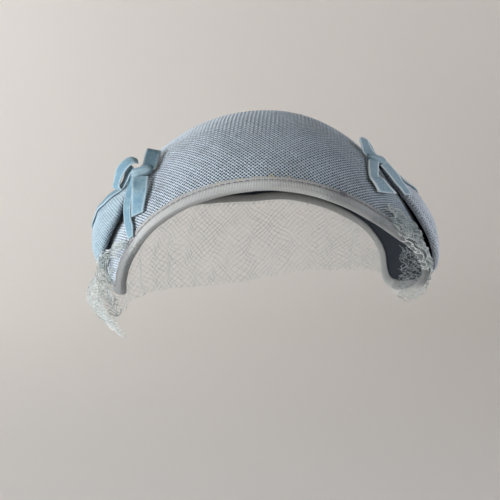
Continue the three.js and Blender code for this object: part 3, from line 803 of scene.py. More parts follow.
def drape_lift(row, share):
    """How far the outer face of the draped layer stands off the crown."""
    base = DRAPE_WALL + CLOTH_GAP
    crest, edge = DRAPE_ROW["crest"](row), DRAPE_ROW["edge_lift"](row)
    rise = np.sin(math.pi / 2 * np.clip(share / CREST_SHARE, 0, 1)) ** 2
    fall = np.clip((share - CREST_SHARE) / (1 - CREST_SHARE), 0, None) ** 2
    lift = np.maximum(base + (crest - base) * rise + (edge - crest) * fall, base)
    room = np.clip((crest - base) / 3, 0, 1)
    depth, middle, width = VALLEY
    valley = depth * beaded(row) * room * np.exp(-(((share - middle) / width) ** 2))
    return lift + drape_folds(row, share) * room - valley


def beaded(row):
    """How far the free edge is rolled into a bead, as it is on the right."""
    part = np.clip((row - 16.5) / 1.5, 0, 1) * np.clip((23.9 - row) / 0.8, 0, 1)
    return part * part * (3 - 2 * part)


def drape_spot(row, share=None):
    """Where the draped layer crosses the dome, a share of the way down a row or, with no share
    given, beneath the velvet band."""
    at = {name: curve(row) for name, curve in DRAPE_ROW.items()}
    share = at["band"] if share is None else share
    alpha = at["top_alpha"] + (at["edge_alpha"] - at["top_alpha"]) * share
    return alpha, at["top_y"] + (at["edge_y"] - at["top_y"]) * share


def drape_place(row, share):
    """Places on the draped layer, and the directions square to the dome there."""
    return lay(*drape_spot(row, share), drape_lift(row, share))


def drape_section(row):
    """The outer line of the draped layer for each row, from its upper edge over the crest and
    round the turned edge, as places and the directions square to them."""
    share = np.concatenate([np.linspace(0, 0.8, 24), np.linspace(0.8, 1, 24)[1:]])
    row = np.asarray(row, float)[:, None]
    place, normal = drape_place(row, share[None, :])
    ahead = unit(place[:, -1] - place[:, -4])[:, None, :]
    up = unit(normal[:, -1] - ahead[:, 0] * (normal[:, -1] * ahead[:, 0]).sum(-1)[:, None])
    up = up[:, None, :]
    room = np.clip((DRAPE_ROW["edge_lift"](row) - 1.6) / 2, 0, 1)[..., None]
    radius = 0.55 + (FOLD_ROUND * (1 + 0.45 * beaded(row))[..., None] - 0.55) * room
    turn = np.linspace(0, math.pi, 9)[1:][None, :, None]
    centre = place[:, -1:] - up * radius
    bend = centre + (up * np.cos(turn) + ahead * np.sin(turn)) * radius
    bend_normal = up * np.cos(turn) + ahead * np.sin(turn)
    back = np.linspace(0, 1, 4)[1:][None, :, None] * TURNED_UNDER
    under = centre - up * radius - ahead * back
    under_normal = np.broadcast_to(-up, under.shape)
    line = np.concatenate([place, bend, under], 1)
    square = np.concatenate([normal, np.broadcast_to(bend_normal, bend.shape), under_normal], 1)
    along = np.gradient(line, axis=1)
    round_it = np.gradient(line, axis=0)
    true = unit(np.cross(round_it, along))
    true *= np.sign((true * square).sum(-1, keepdims=True))
    return line, true


def drape_rows(pitch):
    """Row numbers that lie evenly round the layer's middle, a pitch apart."""
    rows = np.linspace(0, len(DRAPE) - 1, 900)
    middle = drape_place(rows, np.full(rows.shape, 0.6))[0]
    run = run_along(middle)
    return np.interp(np.arange(0, run[-1], pitch), run, rows)


def drape_body(settings):
    """The layer that carries the threads: a thin wall with its free edge turned under."""
    rows = drape_rows(2.0)
    line, normal = drape_section(rows)
    outer = line - normal * 0.5
    inner = line - normal * (DRAPE_WALL - 0.15)
    rings = np.concatenate([outer, inner[:, ::-1]], 1)
    points, faces = lofted(rings)
    piece = mesh_piece(
        "front_drape_foundation",
        points,
        faces,
        foundation_material(settings),
        "drape_cloth",
        ["front_drape"],
    )
    return piece


def drape_threads(settings):
    half = settings.pitch / MM / 2
    rows = drape_rows(half)
    line, normal = drape_section(rows)
    run = runs_along(line)
    down = np.arange(0, run[:, -1].max(), half)
    places = np.array([at_distance(down, *pair) for pair in zip(run, line)])
    normals = np.array([at_distance(down, *pair) for pair in zip(run, normal)])
    inside = (down[None, :] < run[:, -1:] - 0.3) & (down[None, :] >= 0)
    past_edge = down[None, :] - (run[:, -1:] - TURNED_UNDER - FOLD_ROUND * math.pi / 2)
    # Painted shade: the cloth is painted darker towards its edge where it turns under, less so on the
    # wearer's right.
    under_fold_shade = np.clip((past_edge + TUCK_SHADE) / TUCK_SHADE, 0, 1) ** 1.5
    under_fold_shade = under_fold_shade * np.interp(rows, (9, 16), (1.0, 0.25))[:, None]
    places = places + unit(normals) * CLOTH_LEVEL
    for family, name in enumerate(("front_drape_warp", "front_drape_weft")):
        made = threads(places, unit(normals), inside, family, settings, 0.0, 31 + family, 0.4, under_fold_shade)
        straw = straw_material(settings, draped=True)
        mesh_piece(name, material=straw, slot="drape_cloth", replaces=["front_drape"], **made)


# ---- bindings ---------------------------------------------------------------------------------
SEAM_INWARD = 4.4  # the stitching runs this far in from the fold
BINDING_LIP = 0.4  # thickness of the ribbon beyond the stitching
BINDING_ROUND = 1.0  # how far the fold stands out past the edge of the cloth
JOINT = (0.22, 14.0)  # where the ribbon's ends overlap: how much higher it lies, and how far
STITCH_PITCH = 3.1
STITCH_LENGTH = 2.8
STITCH_RADIUS = 0.25


def binding_section():
    """The binding's closed section as distances inward from the edge and lifts: over the
    outside, round the fold and back inside the hat."""
    over = CLOTH_GAP + 0.75
    under = -CROWN_WALL - 0.15
    deep = under - 0.65
    lip = CLOTH_GAP + BINDING_LIP
    top = [
        (BINDING_WIDTH, CLOTH_GAP + 0.1),
        (BINDING_WIDTH, lip),
        (BINDING_WIDTH - 0.9, lip + 0.12),
        (SEAM_INWARD + 0.35, lip + 0.1),
        (SEAM_INWARD, lip - 0.1),
        (SEAM_INWARD - 0.4, over - 0.25),
        (SEAM_INWARD - 1.1, over + 0.1),
        (SEAM_INWARD - 2.3, over + 0.2),
        (0.8, over + 0.05),
    ]
    turn = np.radians(np.linspace(70, -80, 9))
    middle, half = (over + deep) / 2, (over - deep) / 2
    fold = [(-BINDING_ROUND * math.cos(t) + 0.2, middle + half * math.sin(t)) for t in turn]
    inside = [(1.2, deep), (BINDING_INSIDE, deep), (BINDING_INSIDE, under)]
    back_inside = [(1.0, under), (-0.2, under + 0.4)]
    back = [(-0.2, CLOTH_GAP - 0.3), (0.6, CLOTH_GAP + 0.02), (3.6, CLOTH_GAP + 0.02)]
    ring = top + fold + inside + back_inside + back
    return np.array(ring), len(top) + len(fold) + 2


def binding(name, edge, side, settings, joints):
    """A ribbed ribbon folded over an edge. joints are the distances where its ends overlap."""
    section, shown = binding_section()
    half = settings.rib / MM / 2
    total = edge_line(edge, count=2)["total"]
    distances = np.arange(0.2, total - 0.2, half)
    line = edge_line(edge, distances)
    station = np.arange(len(distances))
    rib = np.where(station % 2 == 0, 1.0, -1.0) * settings.rib_rise / MM / 2
    rng = np.random.default_rng(len(name))
    uneven = np.interp(distances, np.linspace(0, total, 60), rng.normal(0, 0.18, 60))
    inward, lift = section[:, 0], section[:, 1]
    outside = (np.arange(len(section)) < shown) & (np.arange(len(section)) > 1)
    raised = lift[None, :] + rib[:, None] * outside[None, :]
    for joint in joints:
        past = np.clip((distances - joint) / 0.8, 0, 1) * (distances < joint + JOINT[1])
        raised = raised + (JOINT[0] * past)[:, None] * outside[None, :]
    edge_part = np.clip((inward - SEAM_INWARD) / (BINDING_WIDTH - SEAM_INWARD), 0, 1)
    drawn = inward[None, :] + uneven[:, None] * edge_part[None, :]
    rings = near_edge(line, side, drawn, raised)[0]
    points, faces = lofted(rings)
    run = np.concatenate([[0], np.cumsum(np.hypot(*np.diff(section, axis=0).T))])
    maps = np.stack(np.broadcast_arrays(run[None, :], distances[:, None]), -1)
    seam = np.exp(-(((inward - SEAM_INWARD - 0.6) / 1.2) ** 2)) * (np.arange(len(section)) < 8)
    # Painted shade: the binding is painted darker from just above its fold round to its underside, and
    # wholly on its part inside the hat.
    darkening = np.clip((2.2 - inward) / 3.2, 0, 1)
    darkening[len(section) - 8 :] = 1
    return mesh_piece(
        name + "_ribbon",
        points,
        faces,
        grosgrain_material(settings),
        "ribbed_ribbon",
        [name],
        maps,
        {
            "seam": np.broadcast_to(seam, rings.shape[:2]),
            "fold": np.broadcast_to(darkening, rings.shape[:2]),
        },
    )


def stitches(name, edge, side, settings):
    """Hand stitches along a binding's seam: short threads that dip under at both ends."""
    total = edge_line(edge, count=2)["total"]
    middles = np.arange(4, total - 4, STITCH_PITCH)
    rng = np.random.default_rng(7)
    middles = middles + rng.normal(0, 0.25, len(middles))
    slant = rng.normal(0, 0.12, len(middles))
    around, steps = 6, 7
    turn = np.linspace(0, 2 * math.pi, around, endpoint=False)
    points, faces = [], []
    for i, (middle, lean) in enumerate(zip(middles, slant)):
        part = np.linspace(-1, 1, steps)
        line = edge_line(edge, middle + part * STITCH_LENGTH / 2)
        arch = CLOTH_GAP + BINDING_LIP + 0.18 - 0.5 * part**4
        place, normal = near_edge(line, side, (SEAM_INWARD + 0.05 + lean * part)[:, None], arch[:, None])
        place, normal = place[:, 0], normal[:, 0]
        along = unit(np.gradient(place, axis=0))
        beside = unit(np.cross(normal, along))
        size = STITCH_RADIUS * np.sqrt(np.clip(1 - 0.85 * part**4, 0.05, 1))
        ring = (
            place[:, None]
            + beside[:, None] * (np.cos(turn)[None, :] * size[:, None])[..., None]
            + normal[:, None] * (np.sin(turn)[None, :] * size[:, None])[..., None]
        )
        body, sides = lofted(ring)
        faces += [f + i * around * steps for f in sides]
        points.append(body)
    return mesh_piece(name, np.concatenate(points), faces, stitch_material(settings), "ribbed_ribbon")


# ---- velvet -----------------------------------------------------------------------------------
RIBBON_POINTS = 15  # across the pile
RIBBON_STEPS = 14  # from one row of the table to the next
CURL = 0.3  # how far a bow's ribbon rises and falls along its edges
BAND_WAVE = 0.12  # and the velvet band


def ribbon_section():
    """A ribbon's closed section: places across it from -1 to 1, and heights off its middle."""
    across = np.sin(np.linspace(-math.pi / 2, math.pi / 2, RIBBON_POINTS))
    swell = RIBBON_THICK / 2 * (1 - np.abs(across) ** 8) ** 0.5
    selvedge = 0.12 * np.exp(-(((np.abs(across) - 0.9) / 0.07) ** 2))
    top = np.stack([across, swell + selvedge * (swell > 0)], -1)
    low = np.stack([across[1:-1], -swell[1:-1]], -1)
    return np.concatenate([top, low[::-1]])


def strip(name, left, right, up, settings):
    """A velvet ribbon between two lines of places, with the directions that face off it."""
    section = ribbon_section()
    across, height = section[:, 0], section[:, 1]
    middle = (left + right) / 2
    half = (right - left) / 2
    run = run_along(middle)
    curl = CURL * np.sin(run / 5.1 + len(name))
    rings = (
        middle[:, None]
        + half[:, None] * across[None, :, None]
        + up[:, None] * (height[None, :] + curl[:, None] * (across**2)[None, :])[..., None]
    )
    points, faces = lofted(rings)
    maps = np.stack(np.broadcast_arrays(across[None, :] * RIBBON_WIDTH / 2, run[:, None]), -1)
    piece = mesh_piece(
        name + "_velvet",
        points,
        faces,
        velvet_material(settings),
        "velvet",
        [name],
        maps,
        {
            "worn": worn_edges(across, run),
            "paled": np.full((len(run), len(across)), RIGHT_BOW_PALING * name.startswith("right")),
        },
    )
    return piece, run[-1] * MM


def worn_edges(across, run):
    """How bare the pile is: wholly along the selvedges, and partly at the cut ends."""
    edge = np.clip((np.abs(across) - 0.64) / 0.2, 0, 1)
    ends = np.clip(1 - np.minimum(run, run[-1] - run) / 0.8, 0, 1)
    return np.maximum(edge[None, :], 0.8 * ends[:, None])


def bow_ribbon(name, edges, settings):
    left, right, normal = edge_paths(edges, RIBBON_STEPS)
    along = unit(np.gradient((left + right) / 2, axis=0))
    up = unit(np.cross(along, right - left))
    if (up[0] * normal[0]).sum() < 0:
        up = -up
    return strip(name, left, right, up, settings)


def bow_knot(name, shape, settings):
    """A ribbon wrapped tight round the middle of the bow, drawn into creases along it."""
    start, stop, high, deep = shape
    (first, last), normals = lay(*(np.array([start[k], stop[k]]) for k in range(3)))
    centre, half = (first + last) / 2, (last - first) / 2
    beside = unit(half)
    normal = normals.mean(0)
    normal = unit(normal - beside * (normal @ beside))
    ahead = np.cross(beside, normal)
    part = np.linspace(-1, 1, 33)[1:-1]
    turn = np.linspace(0, 2 * math.pi, 48, endpoint=False)
    waist = (1 - np.abs(part) ** 3.2) ** 0.5
    crease = 1 + 0.08 * np.cos(5 * turn[None, :] + 1.4 * part[:, None]) + 0.05 * np.cos(
        9 * turn[None, :] - 2.0 * part[:, None] + 1
    )
    radius = waist[:, None] * crease
    rings = (
        centre
        + (half[None] * part[:, None])[:, None]
        + ahead * (np.cos(turn)[None, :] * radius * high)[..., None]
        + normal * (np.sin(turn)[None, :] * radius * deep)[..., None]
    )
    points, faces = lofted(rings)
    long = np.linalg.norm(half)
    maps = np.stack(np.broadcast_arrays(part[:, None] * long, turn[None, :] * high), -1)
    worn = np.clip(0.9 - 4 * (crease - 0.95), 0.35, 0.9)
    return mesh_piece(
        name + "_velvet",
        points,
        faces,
        velvet_material(settings),
        "velvet",
        [name],
        maps,
        {"worn": worn},
    )


def drape_under(alpha, y, row, share):
    """The lift of the draped layer's outer face at places on the dome, by Newton's method."""
    last = len(DRAPE) - 1
    small = 0.01

    def miss(row, share):
        here = drape_spot(np.clip(row, 0, last), share)
        return np.stack([here[0] - alpha, here[1] - y])

    for _ in range(14):
        here = miss(row, share)
        by_row = (miss(row + small, share) - here) / small
        by_share = (miss(row, share + small) - here) / small
        area = by_row[0] * by_share[1] - by_share[0] * by_row[1]
        step = (here[0] * by_share[1] - here[1] * by_share[0]) / area
        row = np.clip(row - np.clip(step, -0.3, 0.3), 0, last - small)
        step = (here[1] * by_row[0] - here[0] * by_row[1]) / area
        share = np.clip(share - np.clip(step, -0.1, 0.1), -0.2, 1.0)
    return drape_lift(row, share)


def velvet_band(settings):
    last = len(DRAPE) - 1
    row = np.linspace(0.3, last - 0.3, 300)

    (alpha, y), before, after = (drape_spot(np.clip(row + step, 0, last)) for step in (0, -0.2, 0.2))
    section = ribbon_section()
    aside = section[:, 0] * RIBBON_WIDTH / 2
    to_alpha, to_y = step_aside(
        alpha[:, None],
        y[:, None],
        (after[0] - before[0])[:, None],
        (after[1] - before[1])[:, None],
        aside[None, :],
    )
    rows = np.broadcast_to(row[:, None], to_alpha.shape)
    share = np.broadcast_to(DRAPE_ROW["band"](row)[:, None], to_alpha.shape)
    lift = drape_under(to_alpha, to_y, rows, share)
    wave = BAND_WAVE * np.sin(row * 6.1)[:, None] * np.abs(section[:, 0])[None, :]
    rings = lay(to_alpha, to_y, lift + CLOTH_GAP + RIBBON_THICK / 2 + section[:, 1] + wave)[0]
    points, faces = lofted(rings)
    place = lay(alpha, y)[0]
    run = run_along(place)
    maps = np.stack(np.broadcast_arrays(aside[None, :], run[:, None]), -1)
    piece = mesh_piece(
        "velvet_band_ribbon",
        points,
        faces,
        velvet_material(settings),
        "velvet",
        ["velvet_band"],
        maps,
        {"worn": worn_edges(section[:, 0], run)},
    )
    return piece, np.linalg.norm(np.diff(rings.mean(axis=1), axis=0), axis=-1).sum() * MM


# ---- veil -------------------------------------------------------------------------------------
VEIL_FULLNESS = 1.2  # the veil's length before it is gathered, against the edge it is sewn to
VEIL_DROP = 66.0
NET_SLACK = 1.2  # how much longer the bunched net is than the patch it fills
NET_STEPS = 12  # from one row of a patch to the next


def net_tubes(lines, radius, seed):
    """Three-sided tubes along lines of places (lines, steps, 3), each closed at both ends. A
    line's places past its own length are nan."""
    rng = np.random.default_rng(seed)
    points, faces = [], []
    start = 0
    corner = np.radians([90, 210, 330])
    for line in lines:
        line = line[~np.isnan(line[:, 0])]
        if len(line) < 2:
            continue
        along = unit(np.gradient(line, axis=0))
        guide = unit(rng.normal(0, 1, 3))
        side = unit(np.cross(along, guide))
        up = np.cross(along, side)
        ring = line[:, None] + radius * (
            side[:, None] * np.cos(corner)[None, :, None] + up[:, None] * np.sin(corner)[None, :, None]
        )
        body = ring.reshape(-1, 3)
        sides = ring_faces(len(line), 3, start)
        caps = np.array([[0, 2, 1], [len(body) - 3, len(body) - 2, len(body) - 1]]) + start
        points.append(body)
        faces.append((sides, caps))
        start += len(body)
    points = np.concatenate(points)
    sides = np.concatenate([f[0] for f in faces])
    caps = np.concatenate([f[1] for f in faces])
    if is_inside_out(points, sides):
        sides, caps = sides[:, ::-1], caps[:, ::-1]
    return points, [sides, caps]


def net_lines(surface, wide, long, cell, step, wander, seed):
    """The threads of a diamond net wide by long millimetres, mapped by surface(x, y)."""
    rng = np.random.default_rng(seed)
    lines = []
    pitch = cell * math.sqrt(2)
    for lean in (1, -1):
        starts = np.arange(-long, wide, pitch) if lean == 1 else np.arange(0, wide + long, pitch)
        for start in starts:
            y = np.arange(0, long + step, step)
            x = start + lean * y
            keep = (x >= 0) & (x <= wide) & (y <= long)
            if keep.sum() < 3:
                continue
            x, y = x[keep], y[keep]
            knots = max(int(len(x) * step / 3) + 2, 3)
            drift = np.interp(
                np.arange(len(x)), np.linspace(0, len(x), knots), rng.normal(0, wander, knots)
            )
            lines.append(surface(x + drift, y - drift))
    return lines


def veil_surface(seed):
    """A function from flat distances on the veil to its places when gathered on the hat."""
    total = edge_line(ARCH["front"], count=2)["total"]
    share = np.linspace(0, 1, 240)
    line = edge_line(ARCH["front"], 0.3 + share * (total - 0.6))
    edge = near_edge(line, 1, [[0.0]], [[0.0]])[0][:, 0]
    tuck = near_edge(line, 1, [[VEIL_TUCK[0]]], [[VEIL_TUCK[1]]])[0][:, 0]
    turn = near_edge(line, 1, [[VEIL_TURN[0]]], [[VEIL_TURN[1]]])[0][:, 0]
    out = unit(edge * np.array([1.0, 1, 0]))
    at = {name: curve(line["share"]) for name, curve in VEIL_ROW.items()}

    def hang(aside, drop):
        return edge + out * aside[:, None] - np.array([0, 0, 1.0]) * drop[:, None]

    controls = np.stack(
        [tuck, turn, hang(at["mid_out"], at["mid_drop"]), hang(at["hem_out"], at["hem_drop"])], 1
    )
    padded = np.concatenate(
        [2 * controls[:, :1] - controls[:, 1:2], controls, 2 * controls[:, -1:] - controls[:, -2:-1]], 1
    )
    t = np.linspace(0, 3, 40)
    section = np.clip(t.astype(int), 0, 2)
    f = (t - section)[None, :, None]
    p0, p1, p2, p3 = (padded[:, section + k] for k in range(4))
    body = 0.5 * (
        2 * p1
        + (p2 - p0) * f
        + (2 * p0 - 5 * p1 + 4 * p2 - p3) * f**2
        + (3 * p1 - p0 - 3 * p2 + p3) * f**3
    )
    run = runs_along(body)
    lengths = run[:, -1]
    down = np.linspace(0, 1, 40)
    even = np.array([at_distance(down * r[-1], r, places) for r, places in zip(run, body)])
    rng = np.random.default_rng(seed)
    phase = rng.uniform(0, 2 * math.pi, 6)

    def surface(x, y):
        share_x = np.clip(x / (total * VEIL_FULLNESS), 0, 1) * (len(even) - 1)
        i = np.clip(share_x.astype(int), 0, len(even) - 2)
        fx = (share_x - i)[:, None]
        own = lengths[i] * (1 - fx[:, 0]) + lengths[i + 1] * fx[:, 0]
        part = y / VEIL_DROP
        share_y = np.clip(part, 0, 1) * 39
        j = np.clip(share_y.astype(int), 0, 38)
        fy = (share_y - j)[:, None]
        place = (even[i, j] * (1 - fx) + even[i + 1, j] * fx) * (1 - fy) + (
            even[i, j + 1] * (1 - fx) + even[i + 1, j + 1] * fx
        ) * fy
        deep = np.clip(part * 1.6, 0, 1) * np.clip(own / 30, 0.3, 1)
        ripple = (
            1.3 * np.sin(x / 3.1 + phase[0])
            + 0.9 * np.sin(x / 1.7 + y / 9 + phase[1])
            + 0.5 * np.sin(y / 2.3 + x / 11 + phase[2])
        )
        sway = 0.9 * np.sin(y / 3.7 + x / 5.3 + phase[3]) + 0.5 * np.sin(x / 2.1 + phase[4])
        direction = out[i] * (1 - fx) + out[i + 1] * fx
        beside = np.stack([-direction[:, 1], direction[:, 0], np.zeros(len(x))], -1)
        return place + direction * (ripple * deep)[:, None] + beside * (sway * deep)[:, None]

    return surface, total


def veil(settings):
    surface, total = veil_surface(5)
    wide = total * VEIL_FULLNESS
    lines = net_lines(surface, wide, VEIL_DROP, settings.cell / MM, step=1.0, wander=0.35, seed=3)
    points, faces = net_tubes(lines, settings.thread / MM / 2, 4)
    piece = mesh_piece("veil_net", points, faces, net_material(settings), "net", ["veil"])
    return piece, wide, VEIL_DROP


def net_patch(height, edges, cell, seed):
    """The threads of net crumpled between the two edges of a patch, and its flat size."""
    near, far, normal = edge_paths(edges, NET_STEPS)
    middle = (near + far) / 2
    along = unit(np.gradient(middle, axis=0))
    across = far - near
    up = unit(np.cross(along, across))
    up *= np.sign((up * normal).sum(-1, keepdims=True))
    run = run_along(middle)
    wide = np.linalg.norm(across, axis=-1).mean()
    phase = np.random.default_rng(seed).uniform(0, 2 * math.pi, 6)

    def surface(x, y):
        ends = 1.5 * np.sin(y / 1.7 + phase[5])
        distance = np.clip(x / NET_SLACK, 0, run[-1]) + ends * np.abs(2 * x / NET_SLACK / run[-1] - 1)
        part = y / (wide * NET_SLACK) + 0.09 * np.sin(x / 2.3 + phase[0])
        crumple = (
            0.5 * np.sin(x / 1.5 + y / 2.7 + phase[1])
            + 0.4 * np.sin(y / 1.2 - x / 3.1 + phase[2])
            + 0.25 * np.sin(x / 0.8 + phase[3])
        )
        swell = np.sqrt(np.clip(4 * part * (1 - part), 0.15, 1))
        rise = height * swell * (0.9 + crumple)
        slide = 0.9 * np.sin(y / 1.6 + x / 2.9 + phase[4])
        return (
            at_distance(distance, run, near)
            + at_distance(distance, run, across) * part[:, None]
            + at_distance(distance, run, up) * rise[:, None]
            + at_distance(distance, run, along) * slide[:, None]
        )

    long = run[-1] * NET_SLACK
    wide = wide * NET_SLACK
    return net_lines(surface, long, wide, cell, step=0.6, wander=0.45, seed=seed), long * wide


def veil_end(name, patches, settings):
    """Net bunched at a back corner, as one piece over all of its patches."""
    points, faces, darkened = [], [], []
    area, start = 0.0, 0
    for number, patch in enumerate(patches):
        height, cell_share, thread_share, darkening = patch[0]
        cell = settings.cell / MM * cell_share
        lines, size = net_patch(height, patch[1:], cell, len(name) + 7 * number)
        radius = settings.thread / MM * 0.6 * thread_share
        body, parts = net_tubes(lines, radius, len(name) + number)
        points.append(body)
        faces += [part + start for part in parts]
        darkened.append(np.full(len(body), darkening))
        start += len(body)
        area += size
    piece = mesh_piece(
        name + "_net",
        np.concatenate(points),
        faces,
        net_material(settings),
        "net",
        [name],
        values={"darkening": np.concatenate(darkened)},
    )
    return piece, area


# ---- materials --------------------------------------------------------------------------------
def new_material(name, roughness, **sockets):
    """A material, its node tree and its shader. sockets are named with _ for a space."""
    material = bpy.data.materials.new(name)
    material.use_nodes = True
    tree = material.node_tree
    shader = tree.nodes["Principled BSDF"]
    shader.inputs["Roughness"].default_value = roughness
    for key, value in sockets.items():
        shader.inputs[key.replace("_", " ")].default_value = value
    return material, tree, shader


def node(tree, kind, settings=None, **inputs):
    """A node with its settings, and values or links for its inputs by name or number."""
    made = tree.nodes.new(kind)
    for key, value in (settings or {}).items():
        setattr(made, key, value)
    for key, value in inputs.items():
        socket = made.inputs[int(key[1:])] if key[0] == "_" and key[1:].isdigit() else made.inputs[key]
        if isinstance(value, bpy.types.NodeSocket):
            tree.links.new(value, socket)
        else:
            socket.default_value = value
    return made


def maths(tree, operation, *values):
    inputs = {f"_{i}": value for i, value in enumerate(values)}
    return node(tree, "ShaderNodeMath", {"operation": operation}, **inputs).outputs[0]


def blend_colour(tree, factor, first, second, mode="MIX"):
    settings = {"data_type": "RGBA", "blend_type": mode}
    made = node(tree, "ShaderNodeMix", settings, _0=factor, _6=first, _7=second)
    return made.outputs[2]


def remap(tree, *limits):
    """A value eased from between two limits to between two others, all given in that order."""
    settings = {"clamp": True, "interpolation_type": "SMOOTHSTEP"}
    inputs = {f"_{i}": limit for i, limit in enumerate(limits)}
    return node(tree, "ShaderNodeMapRange", settings, **inputs).outputs[0]


def object_place(tree):
    return node(tree, "ShaderNodeTexCoord").outputs["Object"]


def stored(tree, name):
    """A value that mesh_piece() wrote to the points."""
    return node(tree, "ShaderNodeAttribute", {"attribute_name": name}).outputs["Fac"]


def bumped(tree, shader, height, strength, distance):
    bump = node(tree, "ShaderNodeBump", Strength=strength, Distance=distance, Height=height)
    tree.links.new(bump.outputs[0], shader.inputs["Normal"])


def group(name, inputs, outputs, build):
    """A node group that is built once: inputs and outputs are pairs of name and socket kind."""
    tree = bpy.data.node_groups.get(name)
    if tree:
        return tree
    tree = bpy.data.node_groups.new(name, "ShaderNodeTree")
    for label, kind, value in inputs:
        socket = tree.interface.new_socket(label, in_out="INPUT", socket_type=kind)
        if value is not None:
            socket.default_value = value
    for label, kind in outputs:
        tree.interface.new_socket(label, in_out="OUTPUT", socket_type=kind)
    entry = tree.nodes.new("NodeGroupInput")
    leave = tree.nodes.new("NodeGroupOutput")
    for label, value in build(tree, entry.outputs).items():
        tree.links.new(value, leave.inputs[label])
    return tree


def placed(tree, made_group, **inputs):
    made = tree.nodes.new("ShaderNodeGroup")
    made.node_tree = made_group
    for key, value in inputs.items():
        socket = made.inputs[key.replace("_", " ")]
        if isinstance(value, bpy.types.NodeSocket):
            tree.links.new(value, socket)
        else:
            socket.default_value = value
    return made.outputs


def ageing():
    """Patches where a colour has faded, from broad clouds and finer mottling."""

    def build(tree, entry):
        place = object_place(tree)
        broad = node(tree, "ShaderNodeTexNoise", Vector=place, Scale=entry["Scale"], Detail=3.0)
        finer = maths(tree, "MULTIPLY", entry["Scale"], 7.3)
        mottle = node(tree, "ShaderNodeTexNoise", Vector=place, Scale=finer, Detail=4.0)
        both = maths(
            tree, "ADD", maths(tree, "MULTIPLY", broad.outputs[0], 0.62),
            maths(tree, "MULTIPLY", mottle.outputs[0], 0.38),
        )
        mask = remap(tree, both, 0.4, 0.62, 0.0, 1.0)
        share = maths(tree, "MULTIPLY", mask, entry["Amount"])
        return {"Colour": blend_colour(tree, share, entry["Colour"], entry["Faded"]), "Mask": mask}

    return group(
        "Ageing",
        (
            ("Colour", "NodeSocketColor", None),
            ("Faded", "NodeSocketColor", None),
            ("Scale", "NodeSocketFloat", 20.0),
            ("Amount", "NodeSocketFloat", 0.5),
        ),
        (("Colour", "NodeSocketColor"), ("Mask", "NodeSocketFloat")),
        build,
    )


def age(tree, base, faded, scale, amount):
    """A colour with another in patches."""
    made = placed(tree, ageing(), Colour=base, Faded=faded, Scale=scale, Amount=amount)
    return made["Colour"]


def fibres():
    """Fine fibres that run along a thread or a ribbon's pile, from its own map."""

    def build(tree, entry):
        spread = node(
            tree, "ShaderNodeCombineXYZ", _0=entry["Across scale"], _1=entry["Along scale"], _2=1.0
        )
        place = node(tree, "ShaderNodeUVMap", {"uv_map": "cloth"}).outputs[0]
        drawn = node(
            tree, "ShaderNodeVectorMath", {"operation": "MULTIPLY"}, _0=place, _1=spread.outputs[0]
        )
        noise = node(
            tree, "ShaderNodeTexNoise", Vector=drawn.outputs[0], Scale=1.0, Detail=4.0, Roughness=0.6
        )
        return {"Height": noise.outputs[0]}

    return group(
        "Fibres",
        (("Across scale", "NodeSocketFloat", 8.0), ("Along scale", "NodeSocketFloat", 0.8)),
        (("Height", "NodeSocketFloat"),),
        build,
    )


def spot():
    """A ragged spot round one place, such as a dab of old glue or a stain."""

    def build(tree, entry):
        place = object_place(tree)
        noise = node(tree, "ShaderNodeTexNoise", Vector=place, Scale=900.0, Detail=3.0)
        away = node(
            tree, "ShaderNodeVectorMath", {"operation": "DISTANCE"}, _0=place, _1=entry["Place"]
        ).outputs["Value"]
        share = maths(tree, "DIVIDE", away, entry["Radius"])
        ragged = maths(tree, "ADD", share, maths(tree, "MULTIPLY_ADD", noise.outputs[0], 0.9, -0.45))
        return {"Mask": remap(tree, ragged, 0.55, 1.0, 1.0, 0.0)}

    return group(
        "Spot",
        (("Place", "NodeSocketVector", None), ("Radius", "NodeSocketFloat", 0.003)),
        (("Mask", "NodeSocketFloat"),),
        build,
    )


def dome_point(alpha, y, lift=0.5):
    return tuple(lay([alpha], [y], [lift])[0][0] * MM)


# Tints for the painted shade where the draped cloth turns under, on the binding's fold and between its
# ribs, and for the seam, the crushed velvet and the darker net.
TUCK_SHADE_TINT = 0x24333F
SEAM_TINT = 0x8D8A86
FOLD_SHADE_TINT = 0x7F8180
GROOVE_SHADE_TINT = 0x6A6C6C
CRUSHED_TINT = 0x4D7287
NET_DARK_TINT = 0x4C5356

# Marks on the cloth and the binding beside the seam: place, radius and strength.
GLUE_TINT = 0xC6BC9C
STAIN_TINT = 0x5A5361
BINDING_SHADE_TINT = 0x3E4547
GLUE = (
    ((16.0, 64.2), 2.0, 0.4),
    ((9.5, 65.4), 1.8, 0.5),
    ((3.0, 66.2), 2.2, 0.65),
    ((-4.5, 66.6), 1.6, 0.45),
    ((24.5, 61.6), 1.6, 0.35),
    ((39.5, 19.1), 1.8, 0.7),
    # The dab beside the right bow's knot is glue with a painted glint on it.
    ((-46.0, 22.4), 1.1, 0.6),
)
STAIN = ((-29.0, 66.9), 3.0, 0.75)
# Painted shade on the binding: along its right part, where the net lies over it, at its left end, and
# faintly over its upper left.
BINDING_SHADE = (
    ((-78.0, 38.0), 34.0, 0.75),
    ((-62.0, 56.0), 26.0, 0.5),
    ((-38.0, 66.0), 26.0, 0.4),
    ((84.0, 20.0), 46.0, 0.6),
    ((50.0, 56.0), 44.0, 0.2),
)


def dab(tree, base, place, radius, strength, code):
    """A colour with a ragged spot of another laid over it."""
    mask = placed(tree, spot(), Place=dome_point(*place), Radius=radius * MM)["Mask"]
    return blend_colour(tree, maths(tree, "MULTIPLY", mask, strength), base, colour(code))


def marked(tree, base):
    """A colour with the glue dabs and the stain laid over it."""
    for mark in GLUE:
        base = dab(tree, base, *mark, GLUE_TINT)
    return dab(tree, base, *STAIN, STAIN_TINT)


